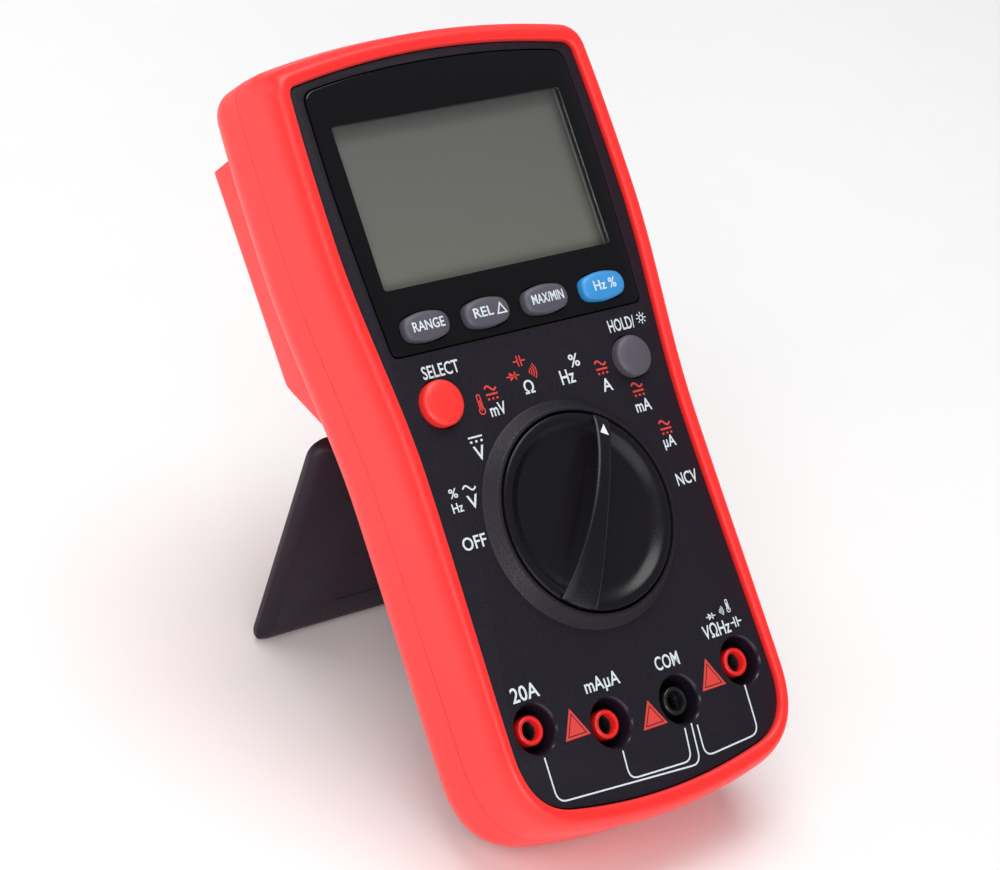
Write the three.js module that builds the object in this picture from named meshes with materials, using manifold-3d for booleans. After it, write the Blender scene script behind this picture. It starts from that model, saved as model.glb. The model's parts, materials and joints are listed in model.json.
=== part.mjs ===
// Digital multimeter standing on its open rear stand.
// Each piece is drawn in the meter's own frame: x to the right, y up along the face, z out of the face,
// with z = 0 on the black front panel. The last group leans the whole meter back onto the surface.
import * as THREE from "three";
import { mergeVertices } from "three/addons/utils/BufferGeometryUtils.js";
import Module from "manifold-3d";

const wasm = await Module();
wasm.setup();

// ---- driving dimensions, in millimetres and degrees ----
const GAP = 0.3; // between pieces that touch
const LEAN = 42.7; // between the face and the surface
// half widths of the panel at its foot, grip and display, and its ends
const FACE = { base: 35.6, low: 34.7, high: 38.3, top: 86, bottom: -75.8 };
const CROWN = { top: 3.2, bottom: 2.6 }; // bow of the top and bottom edges
const FLARE = { from: -2, to: 50 }; // where the narrow grip widens to the display
const RIM = 4; // red edge beyond the panel
const RIM_FRONT = 1.3;
const PARTING = -13; // joint between the front and rear shells
const PANEL = 2.6; // thickness of the front panel
const BACK = -28; // flat back of the case
const BACK_ROUND = 9;
const WALL = 2;
const SWELL = 2.2; // how far the head bulges behind its front edge
// battery housing, deeper towards the top
const HUMP = { half: 35, low: 29.2, high: 78.5, back: -39, tilt: 1.2, foot: 16.5, corner: 1.5, wall: 3.2 };
const DOOR = { half: 30, low: 35.5, high: 70.5, thick: 1.6, screw: 67, head: 2.4 };
const HATCH = { half: 28, low: 37.1, high: 64.2 }; // opening under the battery door
const LENS = { top: 83.5, bottom: 23.8, wide: 34.6, narrow: 33.2, front: 0.25, back: -0.9 };
const LCD = { half: 31.3, low: 35.8, high: 74.2, front: -3.2, thick: 2.2 };
const BOARD = { front: -17, thick: 1.6 };
const KEY = { y: 28.7, pitch: 15.75, half: 5.75, high: 6.3, up: 2.2 };
const BUTTON = { x: 25.6, y: 12.6, select: 4.9, hold: 4.5, up: 2.2 };
const PRESS = 1; // travel of the keys and buttons
const FLANGE = { low: -4, high: -2.95, out: 0.9 }; // lip that holds a key under the panel
const DOME_TOP = -12.4;
const DIAL = { y: -16.65, outer: 24.3, inner: 21.7, up: 2.75, floor: -0.6 };
const KNOB = { r: 21, up: 2.9, dish: 1.5, dishR: 16.1, shaft: 6, pointer: 30 };
const ROTOR = { r: 17, low: -14.6, high: -11.6 };
const JACKS = [
  { name: "20a", x: -28.1, y: -55.6, colour: "red" },
  { name: "ma", x: -9.4, y: -59.3, colour: "red" },
  { name: "com", x: 9.4, y: -59.3, colour: "black" },
  { name: "volt", x: 28.1, y: -55.6, colour: "red" },
];
const JACK = { mouth: 5.3, bore: 4.9, tube: 6.2, deep: -16.2, sleeve: 3.1, hole: 2.1, top: -1.5 };
const SCREWS = [[-33.5, 81.2], [33.5, 81.2], [-28.5, -67.5], [28.5, -67.5]];
const SCREW = { head: 3, shaft: 1.5, well: 3.4, seat: -24.5, post: 3.2, boss: 4.4 };
const STAND = { y: 17.5, z: -30.5, open: 54.5, long: 62, half: 35.2, thick: 3.5, barrel: 2.3, mid: 20 };
const EAR = { r: 3.4, out: 26 }; // carries one end of the stand's hinge
const PIN = { r: 1.2, from: 16, to: 24.6 };
const BOARD_SCREWS = [[-28, -36], [28, -36]];
const LABEL = { half: 24, low: -40, high: -2, deep: 0.6 };
const BATTERY = { long: 48.5, high: 26.5, thick: 17.2, y: 50.6, front: -19.1 };

// ---- colours and finishes ----
function finish(color, roughness, metalness = 0) {
  return { color, roughness, metalness };
}
const RED_RUBBER = finish(0xf0302c, 0.45);
const BLACK_CASE = finish(0x232026, 0.6);
const BLACK_GLOSS = finish(0x141016, 0.1);
const GREY_RUBBER = finish(0x55525c, 0.6);
const STEEL = finish(0xb8b8bc, 0.3, 1);
const BRASS = finish(0xc8a050, 0.3, 1);

// ---- making solids ----
function bare(geometry) {
  geometry.deleteAttribute("normal");
  geometry.deleteAttribute("uv");
  return mergeVertices(geometry, 1e-4);
}

function solid(geometry) {
  const g = bare(geometry.clone());
  return new wasm.Manifold(new wasm.Mesh({
    numProp: 3,
    vertProperties: g.attributes.position.array,
    triVerts: Uint32Array.from(g.index.array),
  }));
}

function geometryOf(body) {
  const mesh = body.getMesh();
  const g = new THREE.BufferGeometry();
  g.setAttribute("position", new THREE.BufferAttribute(mesh.vertProperties, 3));
  g.setIndex(new THREE.BufferAttribute(mesh.triVerts, 1));
  return g;
}

function joined(base, ...others) {
  return others.reduce((whole, piece) => whole.add(piece), base);
}

function cut(base, ...others) {
  return others.reduce((rest, piece) => rest.subtract(piece), base);
}

// Stacks rings of equal length, each counter-clockwise seen from the front and ordered back to front.
// A looped stack closes on its first ring; any other gets a flat cap at each end.
function loft(rings, looped = false) {
  const count = rings[0].length;
  const positions = rings.flat().flatMap((p) => [p.x, p.y, p.z]);
  const index = [];
  const last = looped ? rings.length : rings.length - 1;
  for (let j = 0; j < last; j++) {
    const here = j * count;
    const next = ((j + 1) % rings.length) * count;
    for (let i = 0; i < count; i++) {
      const k = (i + 1) % count;
      index.push(here + i, here + k, next + k, here + i, next + k, next + i);
    }
  }
  if (!looped) {
    const cap = THREE.ShapeUtils.triangulateShape(rings[0].map((p) => new THREE.Vector2(p.x, p.y)), []);
    for (const [a, b, c] of cap) index.push(a, c, b);
    const top = (rings.length - 1) * count;
    const lid = THREE.ShapeUtils.triangulateShape(rings.at(-1).map((p) => new THREE.Vector2(p.x, p.y)), []);
    for (const [a, b, c] of lid) index.push(top + a, top + b, top + c);
  }
  const g = new THREE.BufferGeometry();
  g.setAttribute("position", new THREE.Float32BufferAttribute(positions, 3));
  g.setIndex(index);
  return g;
}

function box(x0, x1, y0, y1, z0, z1) {
  return new THREE.BoxGeometry(x1 - x0, y1 - y0, z1 - z0)
    .translate((x0 + x1) / 2, (y0 + y1) / 2, (z0 + z1) / 2);
}

// A turned solid about z, from [radius, z] corners listed from the back up the outside to the front.
function turned(corners, segments = 24, x = 0, y = 0) {
  const points = corners.map(([r, z]) => new THREE.Vector2(r, z));
  return new THREE.LatheGeometry(points, segments).rotateX(Math.PI / 2).translate(x, y, 0);
}

function rod(r, z0, z1, x = 0, y = 0, segments = 24) {
  return turned([[0, z0], [r, z0], [r, z1], [0, z1]], segments, x, y);
}

// A cylinder along x, for hinge barrels, pins and fuses.
function crossRod(r, x0, x1, y, z, segments = 20) {
  return new THREE.CylinderGeometry(r, r, x1 - x0, segments)
    .rotateZ(-Math.PI / 2)
    .translate((x0 + x1) / 2, y, z);
}

// Turns a shape drawn in (y, z) and pushed out along its third axis so that it starts at x0 and runs along x.
function alongX(geometry, x0) {
  return geometry.applyMatrix4(new THREE.Matrix4().set(0, 0, 1, x0, 1, 0, 0, 0, 0, 1, 0, 0, 0, 0, 0, 1));
}

function prism(shape, z0, z1, steps = 6) {
  return new THREE.ExtrudeGeometry(shape, { depth: z1 - z0, bevelEnabled: false, curveSegments: steps })
    .translate(0, 0, z0);
}

function roundedRectangle(x0, x1, y0, y1, r) {
  const s = new THREE.Shape();
  s.moveTo(x0 + r, y0).lineTo(x1 - r, y0).absarc(x1 - r, y0 + r, r, -Math.PI / 2, 0, false);
  s.lineTo(x1, y1 - r).absarc(x1 - r, y1 - r, r, 0, Math.PI / 2, false);
  s.lineTo(x0 + r, y1).absarc(x0 + r, y1 - r, r, Math.PI / 2, Math.PI, false);
  s.lineTo(x0, y0 + r).absarc(x0 + r, y0 + r, r, Math.PI, Math.PI * 1.5, false);
  return s;
}

function polygon(corners) {
  return new THREE.Shape(corners.map(([x, y]) => new THREE.Vector2(x, y)));
}

function mirrored(half) {
  const left = half.slice(1, -1).reverse().map((p) => new THREE.Vector2(-p.x, p.y));
  return [...half, ...left];
}

function ringAt(points, z) {
  return points.map((p) => new THREE.Vector3(p.x, p.y, z));
}

// ---- outline of the case, grown or shrunk from the panel's edge ----
function caseOutline(grow, drop = 0, rise = 0) {
  const base = FACE.base + Math.min(grow, 0.8 * grow);
  const low = FACE.low + grow;
  const high = FACE.high + grow;
  const top = FACE.top + grow + rise;
  const bottom = FACE.bottom - 1.15 * grow - drop;
  const heel = bottom + CROWN.bottom;
  const foot = 10 + Math.max(grow, -4);
  const head = Math.max(1.2, 2.2 + 0.6 * grow);
  const shoulder = high - 0.7;
  const half = new THREE.Path();
  half.moveTo(0, bottom);
  half.quadraticCurveTo((base - foot) / 2, bottom, base - foot, heel);
  const footSlope = (2 * CROWN.bottom) / (base - foot);
  half.quadraticCurveTo(base, heel + footSlope * foot, base, heel + 1.4 * foot);
  half.bezierCurveTo(base, heel + 2.8 * foot, low, FLARE.from - 20, low, FLARE.from);
  half.bezierCurveTo(low, FLARE.from + 18, high, FLARE.to - 18, high, FLARE.to);
  half.quadraticCurveTo(high, (FLARE.to + top) / 2, shoulder, top - CROWN.top - 1.4 * head);
  const headSlope = (2 * CROWN.top) / (shoulder - head);
  half.quadraticCurveTo(shoulder, top - CROWN.top - headSlope * head, shoulder - head, top - CROWN.top);
  half.quadraticCurveTo((shoulder - head) / 2, top, 0, top);
  return mirrored(half.getPoints(3));
}

function caseRing([grow, z, drop = 0, rise = 0]) {
  return ringAt(caseOutline(grow, drop, rise), z);
}

// ---- shells ----
function frontBumper() {
  const section = [
    [2.5, PARTING], [RIM, PARTING, 0, SWELL], [RIM, -7.5, 0, SWELL * 0.8], [RIM, -3, 0, 0.6],
    [3.9, -0.8, 0, 0.3], [2.8, 0.8], [1.6, RIM_FRONT], [0.5, 1], [0, 0.3], [0, -0.9], [2.5, -0.9],
  ];
  return loft(section.map(caseRing), true);
}

function keyOutline(x, grow = 0, bulge = 0.5) {
  const w = KEY.half + grow;
  const h = KEY.high / 2 + grow;
  const s = new THREE.Shape();
  s.moveTo(x - w + 2, KEY.y - h + bulge);
  s.quadraticCurveTo(x, KEY.y - h - bulge, x + w - 2, KEY.y - h + bulge);
  s.quadraticCurveTo(x + w, KEY.y - h + 1, x + w, KEY.y);
  s.quadraticCurveTo(x + w, KEY.y + h - 1, x + w - 2, KEY.y + h - bulge);
  s.quadraticCurveTo(x, KEY.y + h + bulge, x - w + 2, KEY.y + h - bulge);
  s.quadraticCurveTo(x - w, KEY.y + h - 1, x - w, KEY.y);
  s.quadraticCurveTo(x - w, KEY.y - h + 1, x - w + 2, KEY.y - h + bulge);
  return s;
}

const KEY_PLACES = [-1.5, -0.5, 0.5, 1.5].map((n) => n * KEY.pitch);

function lensOutline(grow) {
  const half = new THREE.Path();
  const wide = LENS.wide + grow;
  const narrow = LENS.narrow + grow;
  const top = LENS.top + grow;
  const bottom = LENS.bottom - grow;
  half.moveTo(0, bottom).lineTo(narrow - 2, bottom).quadraticCurveTo(narrow, bottom, narrow, bottom + 2);
  half.quadraticCurveTo(wide, 50, wide, 62).lineTo(wide - 0.3, top - 5.5);
  half.quadraticCurveTo(wide - 0.3, top - 2.5, wide - 3.5, top - 2.2).quadraticCurveTo(wide / 2, top, 0, top);
  return mirrored(half.getPoints(4));
}

function keyHoles(z0, z1) {
  return KEY_PLACES.map((x) => solid(prism(keyOutline(x, GAP), z0, z1, 3)));
}

function frontCase() {
  const edge = [[2.2, PARTING + 0.2], [2.2, -1.2], [-GAP, -1.2], [-GAP, -0.2], [-0.5, 0]];
  const plate = loft(edge.map(caseRing));
  const cavity = loft([[0.4, PARTING - 1], [0.4, -PANEL]].map(caseRing));
  let body = cut(solid(plate), solid(cavity));
  const collar = turned(
    [
      [0, -1], [DIAL.outer, -1], [DIAL.outer, 0], [DIAL.inner + 0.7, DIAL.up - 0.1], [DIAL.inner, DIAL.up],
      [0, DIAL.up],
    ],
    44, 0, DIAL.y,
  );
  const bush = rod(9, -8, -1, 0, DIAL.y, 20);
  const tubes = JACKS.map(({ x, y }) => solid(rod(JACK.tube, JACK.deep, -1, x, y, 20)));
  const posts = SCREWS.map(([x, y]) => solid(rod(SCREW.post, PARTING + 0.2, -1, x, y, 12)));
  body = joined(body, solid(collar), solid(bush), ...tubes, ...posts);
  const dial = rod(DIAL.inner - 0.1, DIAL.floor, 9, 0, DIAL.y, 44);
  const shaft = rod(KNOB.shaft + GAP, -20, 9, 0, DIAL.y, 20);
  const { bore, mouth } = JACK;
  const well = [[0, -30], [bore, -30], [bore, -0.9], [mouth, -0.35], [mouth + 0.3, 1], [0, 1]];
  const wells = JACKS.map(({ x, y }) => solid(turned(well, 20, x, y)));
  const bores = SCREWS.map(([x, y]) => solid(rod(SCREW.shaft + GAP, PARTING - 1, -4, x, y, 8)));
  const recess = loft([ringAt(lensOutline(GAP), LENS.back - GAP), ringAt(lensOutline(GAP), 1)]);
  const window = box(-LCD.half, LCD.half, LCD.low + 0.4, LCD.high - 0.4, -9, 1);
  const select = rod(BUTTON.select + GAP, -9, 1, -BUTTON.x, BUTTON.y, 20);
  const hold = rod(BUTTON.hold + GAP, -9, 1, BUTTON.x, BUTTON.y, 20);
  return geometryOf(cut(
    body, solid(dial), solid(shaft), ...wells, ...bores, solid(recess), solid(window),
    ...keyHoles(-9, 1), solid(select), solid(hold),
  ));
}

// The back of the housing slopes by `tilt` from its low edge to its high edge.
function humpRing(inset, rise, low, high, tilt = HUMP.tilt) {
  const r = HUMP.corner;
  const side = HUMP.half - inset;
  const bottom = low + inset;
  const top = high - inset;
  const height = (y) => HUMP.back + rise - (tilt * (y - HUMP.low)) / (HUMP.high - HUMP.low);
  const corner = (x, y, turn) => [0, 30, 60, 90].map((step) => {
    const a = THREE.MathUtils.degToRad(turn + step);
    return new THREE.Vector2(x + r * Math.cos(a), y + r * Math.sin(a));
  });
  return [
    ...corner(side - r, bottom + r, -90), ...corner(side - r, top - r, 0),
    ...corner(r - side, top - r, 90), ...corner(r - side, bottom + r, 180),
  ].map((p) => new THREE.Vector3(p.x, p.y, height(p.y)));
}

// Moves a shape drawn with z = 0 on the housing's sloping back, and +z inward, into place.
function onHump(geometry) {
  const slope = Math.atan2(HUMP.tilt, HUMP.high - HUMP.low);
  return geometry.translate(0, -HUMP.low, 0).rotateX(-slope).translate(0, HUMP.low, HUMP.back);
}

function rearCase() {
  const round = [0, 22.5, 45, 67.5, 90].map((turn) => {
    const a = THREE.MathUtils.degToRad(turn);
    return [RIM - BACK_ROUND * (1 - Math.cos(a)), BACK + BACK_ROUND * (1 - Math.sin(a))];
  });
  const footDrop = [0.3, 0.9, 1.4, 2.6, 3.6]; // the base swells downward into a rounded foot
  const shell = [[RIM, PARTING - GAP, 0, SWELL], ...round.map(([g, z], i) => [g, z, footDrop[i], SWELL])];
  const outer = loft(shell.reverse().map(caseRing));
  const inner = loft([[-3, BACK + WALL, 1], [-0.5, -23], [RIM - WALL, -18], [RIM - WALL, 0]].map(caseRing));
  const hump = loft([
    humpRing(1.3, 0, HUMP.low, HUMP.high), humpRing(0, 1.3, HUMP.low - 1.3, HUMP.high),
    humpRing(-0.8, BACK + 1 - HUMP.back, HUMP.foot, HUMP.high + 3.8, 0),
  ]);
  const pocket = loft([
    humpRing(HUMP.wall, HUMP.wall, HUMP.low, HUMP.high),
    humpRing(HUMP.wall, BACK + 3 - HUMP.back, HUMP.foot + 6, HUMP.high + 1, 0),
  ]);
  const bosses = SCREWS.map(([x, y]) =>
    solid(rod(SCREW.boss, BACK + 0.5, PARTING - 1, x, y, 14)).intersect(solid(outer)));
  const ears = [-1, 1].map((side) => solid(standEar(side)));
  let body = cut(joined(solid(outer), solid(hump)), solid(inner), solid(pocket));
  const doorPost = onHump(rod(2.8, HUMP.wall - 0.5, 11, 0, DOOR.screw, 16));
  body = joined(body, ...bosses, ...ears, solid(doorPost));
  const skin = solid(loft([[RIM - WALL, PARTING - 2.2], [RIM - WALL, 0]].map(caseRing)));
  const wells = SCREWS.map(([x, y]) => solid(rod(SCREW.well, -60, SCREW.seat, x, y, 14)));
  const holes = SCREWS.map(([x, y]) => solid(rod(SCREW.shaft + GAP, -60, 0, x, y, 8)));
  const seatOutline = roundedRectangle(-DOOR.half, DOOR.half, DOOR.low, DOOR.high, 3);
  const doorSeat = onHump(prism(seatOutline, -9, DOOR.thick + GAP, 3));
  const hatch = onHump(prism(roundedRectangle(-HATCH.half, HATCH.half, HATCH.low, HATCH.high, 2), -9, 9, 3));
  const doorBore = onHump(rod(SCREW.shaft + GAP, -9, 12, 0, DOOR.screw, 12));
  const eyes = crossRod(PIN.r + GAP, -PIN.to - GAP, PIN.to + GAP, STAND.y, STAND.z, 12);
  const hollow = crossRod(STAND.barrel + 2 * GAP, -STAND.mid - GAP, STAND.mid + GAP, STAND.y, STAND.z, 16);
  const { half, low, high, deep } = LABEL;
  const label = box(-half - GAP, half + GAP, low - GAP, high + GAP, -60, BACK + deep);
  return geometryOf(cut(
    body, skin, ...wells, ...holes, solid(doorSeat), solid(hatch), solid(doorBore),
    solid(eyes), solid(hollow), solid(label),
  ));
}

function standEar(side) {
  const ear = new THREE.Shape();
  const { r, out } = EAR;
  ear.absarc(STAND.y, STAND.z, r, Math.PI * 0.95, Math.PI * 2, false);
  ear.lineTo(STAND.y + r, BACK + 1).lineTo(STAND.y - r, BACK + 1);
  const x0 = side < 0 ? -out : STAND.mid + GAP;
  const x1 = side < 0 ? -STAND.mid - GAP : out;
  const depth = x1 - x0;
  return alongX(new THREE.ExtrudeGeometry(ear, { depth, bevelEnabled: false, curveSegments: 8 }), x0);
}

function ratingLabel() {
  return box(-LABEL.half, LABEL.half, LABEL.low, LABEL.high, BACK, BACK + LABEL.deep - GAP);
}

function batteryDoor() {
  const plate = prism(
    roundedRectangle(-DOOR.half + GAP, DOOR.half - GAP, DOOR.low + GAP, DOOR.high - GAP, 2.7),
    0, DOOR.thick, 3,
  );
  const bore = rod(SCREW.shaft + GAP, -9, 9, 0, DOOR.screw, 12);
  const sink = rod(DOOR.head + GAP, -9, 1.1, 0, DOOR.screw, 16);
  const middles = [-3, -2, -1, 0, 1, 2, 3].map((n) => 44 + n * 2);
  const grooves = middles.map((y) => solid(box(-8, 8, y - 0.35, y + 0.35, -9, 0.4)));
  return onHump(geometryOf(cut(solid(plate), solid(bore), solid(sink), ...grooves)));
}

function screw(x, y, seat, long, high, head = SCREW.head) {
  const { shaft } = SCREW;
  const back = seat - high;
  const corners = [
    [0, back], [head - 0.4, back], [head, back + high / 3], [head, seat], [shaft, seat],
    [shaft, seat + long], [0, seat + long],
  ];
  return turned(corners, 10, x, y);
}

// ---- display ----
function displayLens() {
  const edge = [[0, LENS.back], [0, LENS.front - 0.25], [-0.25, LENS.front]];
  const plate = loft(edge.map(([grow, z]) => ringAt(lensOutline(grow), z)));
  return geometryOf(cut(solid(plate), ...keyHoles(-9, 9)));
}

function lcdGlass() {
  return box(-LCD.half, LCD.half, LCD.low, LCD.high, LCD.front - LCD.thick, LCD.front);
}

function lcdFrame() {
  const x = LCD.half + 1.8;
  const y0 = LCD.low - 1.8;
  const y1 = LCD.high + 1.8;
  const outer = box(-x, x, y0, y1, BOARD.front + GAP, -PANEL - GAP);
  const inner = box(-x + 1.4, x - 1.4, y0 + 1.4, y1 - 1.4, -30, 1);
  return geometryOf(cut(solid(outer), solid(inner)));
}

function contactStrip(y) {
  const back = BOARD.front + GAP;
  const front = LCD.front - LCD.thick - GAP;
  return box(-28, 28, y - 1, y + 1, back, front);
}

// ---- keys and buttons ----
function key(x) {
  const flange = prism(keyOutline(x, FLANGE.out), FLANGE.low, FLANGE.high, 3);
  const sides = [[0, FLANGE.low + 0.2], [0, KEY.up - 1], [-0.35, KEY.up - 0.35], [-1.1, KEY.up]];
  const rings = sides.map(([grow, z]) => {
    const outline = keyOutline(x, grow, 0.5 + grow * 0.1).getPoints(3).slice(0, -1);
    return ringAt(outline, z);
  });
  const stem = rod(2.2, DOME_TOP + PRESS + GAP, FLANGE.low + 0.3, x, KEY.y, 8);
  return geometryOf(joined(solid(loft(rings)), solid(flange), solid(stem)));
}

function roundButton(r, x) {
  const corners = [
    [0, DOME_TOP + PRESS + GAP], [2.2, DOME_TOP + PRESS + GAP],
    [2.2, FLANGE.low], [r + FLANGE.out, FLANGE.low], [r + FLANGE.out, FLANGE.high],
    [r, FLANGE.high], [r, BUTTON.up - 1.1], [r - 0.35, BUTTON.up - 0.45],
    [r - 1.2, BUTTON.up - 0.05], [r / 2, BUTTON.up + 0.15], [0, BUTTON.up + 0.2],
  ];
  return turned(corners, 16, x, BUTTON.y);
}

function keypad() {
  const sheet = box(-32, 32, 6, 32.5, BOARD.front + GAP, BOARD.front + 1.5);
  const base = BOARD.front + 1;
  const places = [...KEY_PLACES.map((x) => [x, KEY.y]), [-BUTTON.x, BUTTON.y], [BUTTON.x, BUTTON.y]];
  const dome = [[0, base], [3, base], [2.2, DOME_TOP], [0, DOME_TOP]];
  const domes = places.map(([x, y]) => solid(turned(dome, 8, x, y)));
  return geometryOf(joined(solid(sheet), ...domes));
}

// ---- rotary switch ----
// The finger bar is an arch across the dish, narrow at the pointer and broad at the tail.
function fingerBar() {
  const steps = 12;
  const rings = [];
  for (let i = 0; i <= steps; i++) {
    const along = -1 + (2 * i) / steps;
    const t = along * (KNOB.r + 0.5);
    const crest = 1.95 - 1.2 * along + 1.5 * along * along;
    const base = Math.max(2.6 - 0.9 * along, crest + 0.1);
    const height = KNOB.up - 0.2 + 4.9 * Math.pow(Math.max(0, 1 - along * along), 0.7);
    const low = KNOB.dish - 0.6;
    const middle = low + (height - low) * 0.45;
    const waist = crest - 0.1;
    const wall = [[base, low], [waist, middle], [crest, height - 0.55], [crest * 0.55, height]];
    const section = [...wall, ...wall.map(([x, z]) => [-x, z]).reverse()];
    rings.push(section.map(([x, z]) => new THREE.Vector3(x, z, -t)));
  }
  // rings were laid across z so that they could be capped; turn the stack to run along y
  return loft(rings.reverse()).rotateX(Math.PI / 2);
}

function knob() {
  const disc = turned([
    [0, 0.2], [KNOB.r - 0.4, 0.2], [KNOB.r, 0.6], [KNOB.r, KNOB.up - 0.3], [KNOB.r - 0.3, KNOB.up],
    [KNOB.r - 1.3, KNOB.up], [KNOB.dishR + 0.6, KNOB.dish + 0.15], [KNOB.dishR - 0.4, KNOB.dish],
    [0, KNOB.dish],
  ], 44);
  const shaft = rod(KNOB.shaft, ROTOR.low + 0.4, 0.6, 0, 0, 16);
  const trim = rod(KNOB.r, -30, 30, 0, 0, 44);
  const bar = solid(fingerBar()).intersect(solid(trim));
  return geometryOf(joined(solid(disc), bar, solid(shaft)))
    .rotateZ(THREE.MathUtils.degToRad(-KNOB.pointer)).translate(0, DIAL.y, 0);
}

function knobRotor() {
  const hub = KNOB.shaft + GAP;
  const disc = turned([
    [hub, ROTOR.low], [ROTOR.r, ROTOR.low], [ROTOR.r, ROTOR.high], [9.5, ROTOR.high], [9.5, ROTOR.high + 2.4],
    [hub, ROTOR.high + 2.4], [hub, ROTOR.low],
  ], 32);
  const notches = [];
  for (let n = 0; n < 10; n++) {
    const a = THREE.MathUtils.degToRad(n * 36);
    notches.push(solid(rod(1, -30, 0, ROTOR.r * Math.cos(a), ROTOR.r * Math.sin(a), 8)));
  }
  return geometryOf(cut(solid(disc), ...notches)).translate(0, DIAL.y, 0);
}

// A wiper is a bent leaf under the rotor that rubs on the board's contact rings.
function wiper(radius, turn) {
  const high = ROTOR.low - GAP;
  const low = BOARD.front + GAP;
  const s = polygon([
    [-5, high], [-5, high - 0.3], [-2.5, high - 0.3], [0, low], [1.2, low], [4.5, high - 0.3],
    [5, high - 0.3], [5, high], [3.8, high], [0.9, low + 0.4], [0.3, low + 0.4], [-2.2, high],
  ]);
  return new THREE.ExtrudeGeometry(s, { depth: 2.4, bevelEnabled: false })
    .translate(0, 0, -1.2)
    .rotateX(Math.PI / 2)
    .translate(0, radius, 0)
    .rotateZ(THREE.MathUtils.degToRad(turn))
    .translate(0, DIAL.y, 0);
}

function detentBall(side) {
  const middle = (ROTOR.low + ROTOR.high) / 2;
  return new THREE.SphereGeometry(1.4, 12, 8).translate(side * (ROTOR.r + 2.1), DIAL.y, middle);
}

function detentSpring(side) {
  const s = new THREE.Shape();
  const x = ROTOR.r + 3.9;
  s.moveTo(x, -8).quadraticCurveTo(x + 1.6, 0, x, 8);
  s.lineTo(x + 0.5, 8).quadraticCurveTo(x + 2.1, 0, x + 0.5, -8);
  const leaf = prism(s, ROTOR.low, ROTOR.high);
  return (side < 0 ? leaf.rotateZ(Math.PI) : leaf).translate(0, DIAL.y, 0);
}

// ---- circuit ----
function mainBoard() {
  const s = polygon([
    [-32, -62], [32, -62], [33, 2], [36, 30], [36, 74], [27, 75], [27, 81],
    [-27, 81], [-27, 75], [-36, 74], [-36, 30], [-33, 2],
  ]);
  const plate = solid(prism(s, BOARD.front - BOARD.thick, BOARD.front));
  const pins = JACKS.map(({ x, y }) => solid(rod(1.3, -30, 0, x, y, 12)));
  const fixings = BOARD_SCREWS.map(([x, y]) => solid(rod(1.6, -30, 0, x, y, 12)));
  return geometryOf(cut(plate, ...pins, ...fixings));
}

function boardScrew([x, y]) {
  const back = BOARD.front - BOARD.thick - GAP;
  const corners = [
    [0, back - 1.4], [2.2, back - 1.4], [2.4, back - 0.9], [2.4, back], [1.2, back], [1.2, -11], [0, -11],
  ];
  return turned(corners, 8, x, y);
}

function jackSleeve({ x, y }) {
  const { sleeve, hole, top, deep } = JACK;
  const corners = [
    [hole + 0.55, deep - 0.4], [JACK.bore - GAP, deep - 0.4], [JACK.bore - GAP, deep + 1.4],
    [sleeve, deep + 1.8], [sleeve, top - 0.35], [sleeve - 0.35, top], [hole + 0.15, top],
    [hole, top - 0.2], [hole, top - 1.9],
    [hole + 0.55, top - 1.9], [hole + 0.55, deep - 0.4],
  ];
  return turned(corners, 14, x, y);
}

function jackContact({ x, y }) {
  const back = BOARD.front - BOARD.thick - 1;
  const corners = [
    [0, back], [0.9, back], [0.9, JACK.deep - 0.6], [2.35, JACK.deep], [2.35, -4], [2.02, -4],
    [2.02, JACK.deep + 1.4], [0, JACK.deep + 1.4],
  ];
  return turned(corners, 10, x, y);
}

const FUSES = [{ name: "20a", y: -28, r: 3.1 }, { name: "ma", y: -42, r: 2.5 }];
const FUSE = { half: 16, z: -22.6, cap: 5.5 };

function fuse({ y, r }) {
  const tube = solid(crossRod(r - 0.2, -FUSE.half, FUSE.half, y, FUSE.z, 16));
  const caps = [-1, 1].map((side) => {
    const ends = [side * FUSE.half, side * (FUSE.half - FUSE.cap)].sort((a, b) => a - b);
    return solid(crossRod(r, ends[0], ends[1], y, FUSE.z, 16));
  });
  return geometryOf(joined(tube, ...caps));
}

function fuseClip({ y, r }, side) {
  const back = BOARD.front - BOARD.thick - GAP;
  const w = r + 0.9;
  const tip = FUSE.z - r * 0.6;
  const s = polygon([
    [-w, tip], [-w, back], [w, back], [w, tip],
    [w - 0.5, tip], [w - 0.5, back - 0.5], [0.5 - w, back - 0.5], [0.5 - w, tip],
  ]);
  const x0 = side * (FUSE.half - FUSE.cap / 2) - 2;
  return alongX(new THREE.ExtrudeGeometry(s, { depth: 4, bevelEnabled: false }), x0).translate(0, y, 0);
}

function along(points, r, steps, sides = 4) {
  const circle = new THREE.Shape();
  circle.absarc(0, 0, r, 0, Math.PI * 2, false);
  const path = new THREE.CatmullRomCurve3(points.map(([x, y, z]) => new THREE.Vector3(x, y, z)));
  return new THREE.ExtrudeGeometry(circle, {
    steps,
    curveSegments: sides,
    bevelEnabled: false,
    extrudePath: path,
  });
}

function shunt() {
  const foot = BOARD.front + GAP;
  const bend = [[-24, foot], [-24, -13.5], [-22, -11.6], [-12, -11.6], [-10, -13.5], [-10, foot]];
  return along(bend.map(([x, z]) => [x, -43, z]), 0.8, 14);
}

function buzzer() {
  const [foot, top, port] = [BOARD.front + GAP, -12.2, -12.8];
  return turned([[0, foot], [5.5, foot], [5.5, top], [1.2, top], [1.2, port], [0, port]], 20, 20, -41);
}

function batteryLead(side) {
  const end = 24.5;
  return along([
    [end + 2.4, BATTERY.y + side * 5, -24], [end + 5, BATTERY.y + side * 7, -24],
    [end + 6, BATTERY.y + side * 10, -22], [end + 5.5, BATTERY.y + side * 12, -18.9],
  ], 0.7, 8);
}

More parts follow.
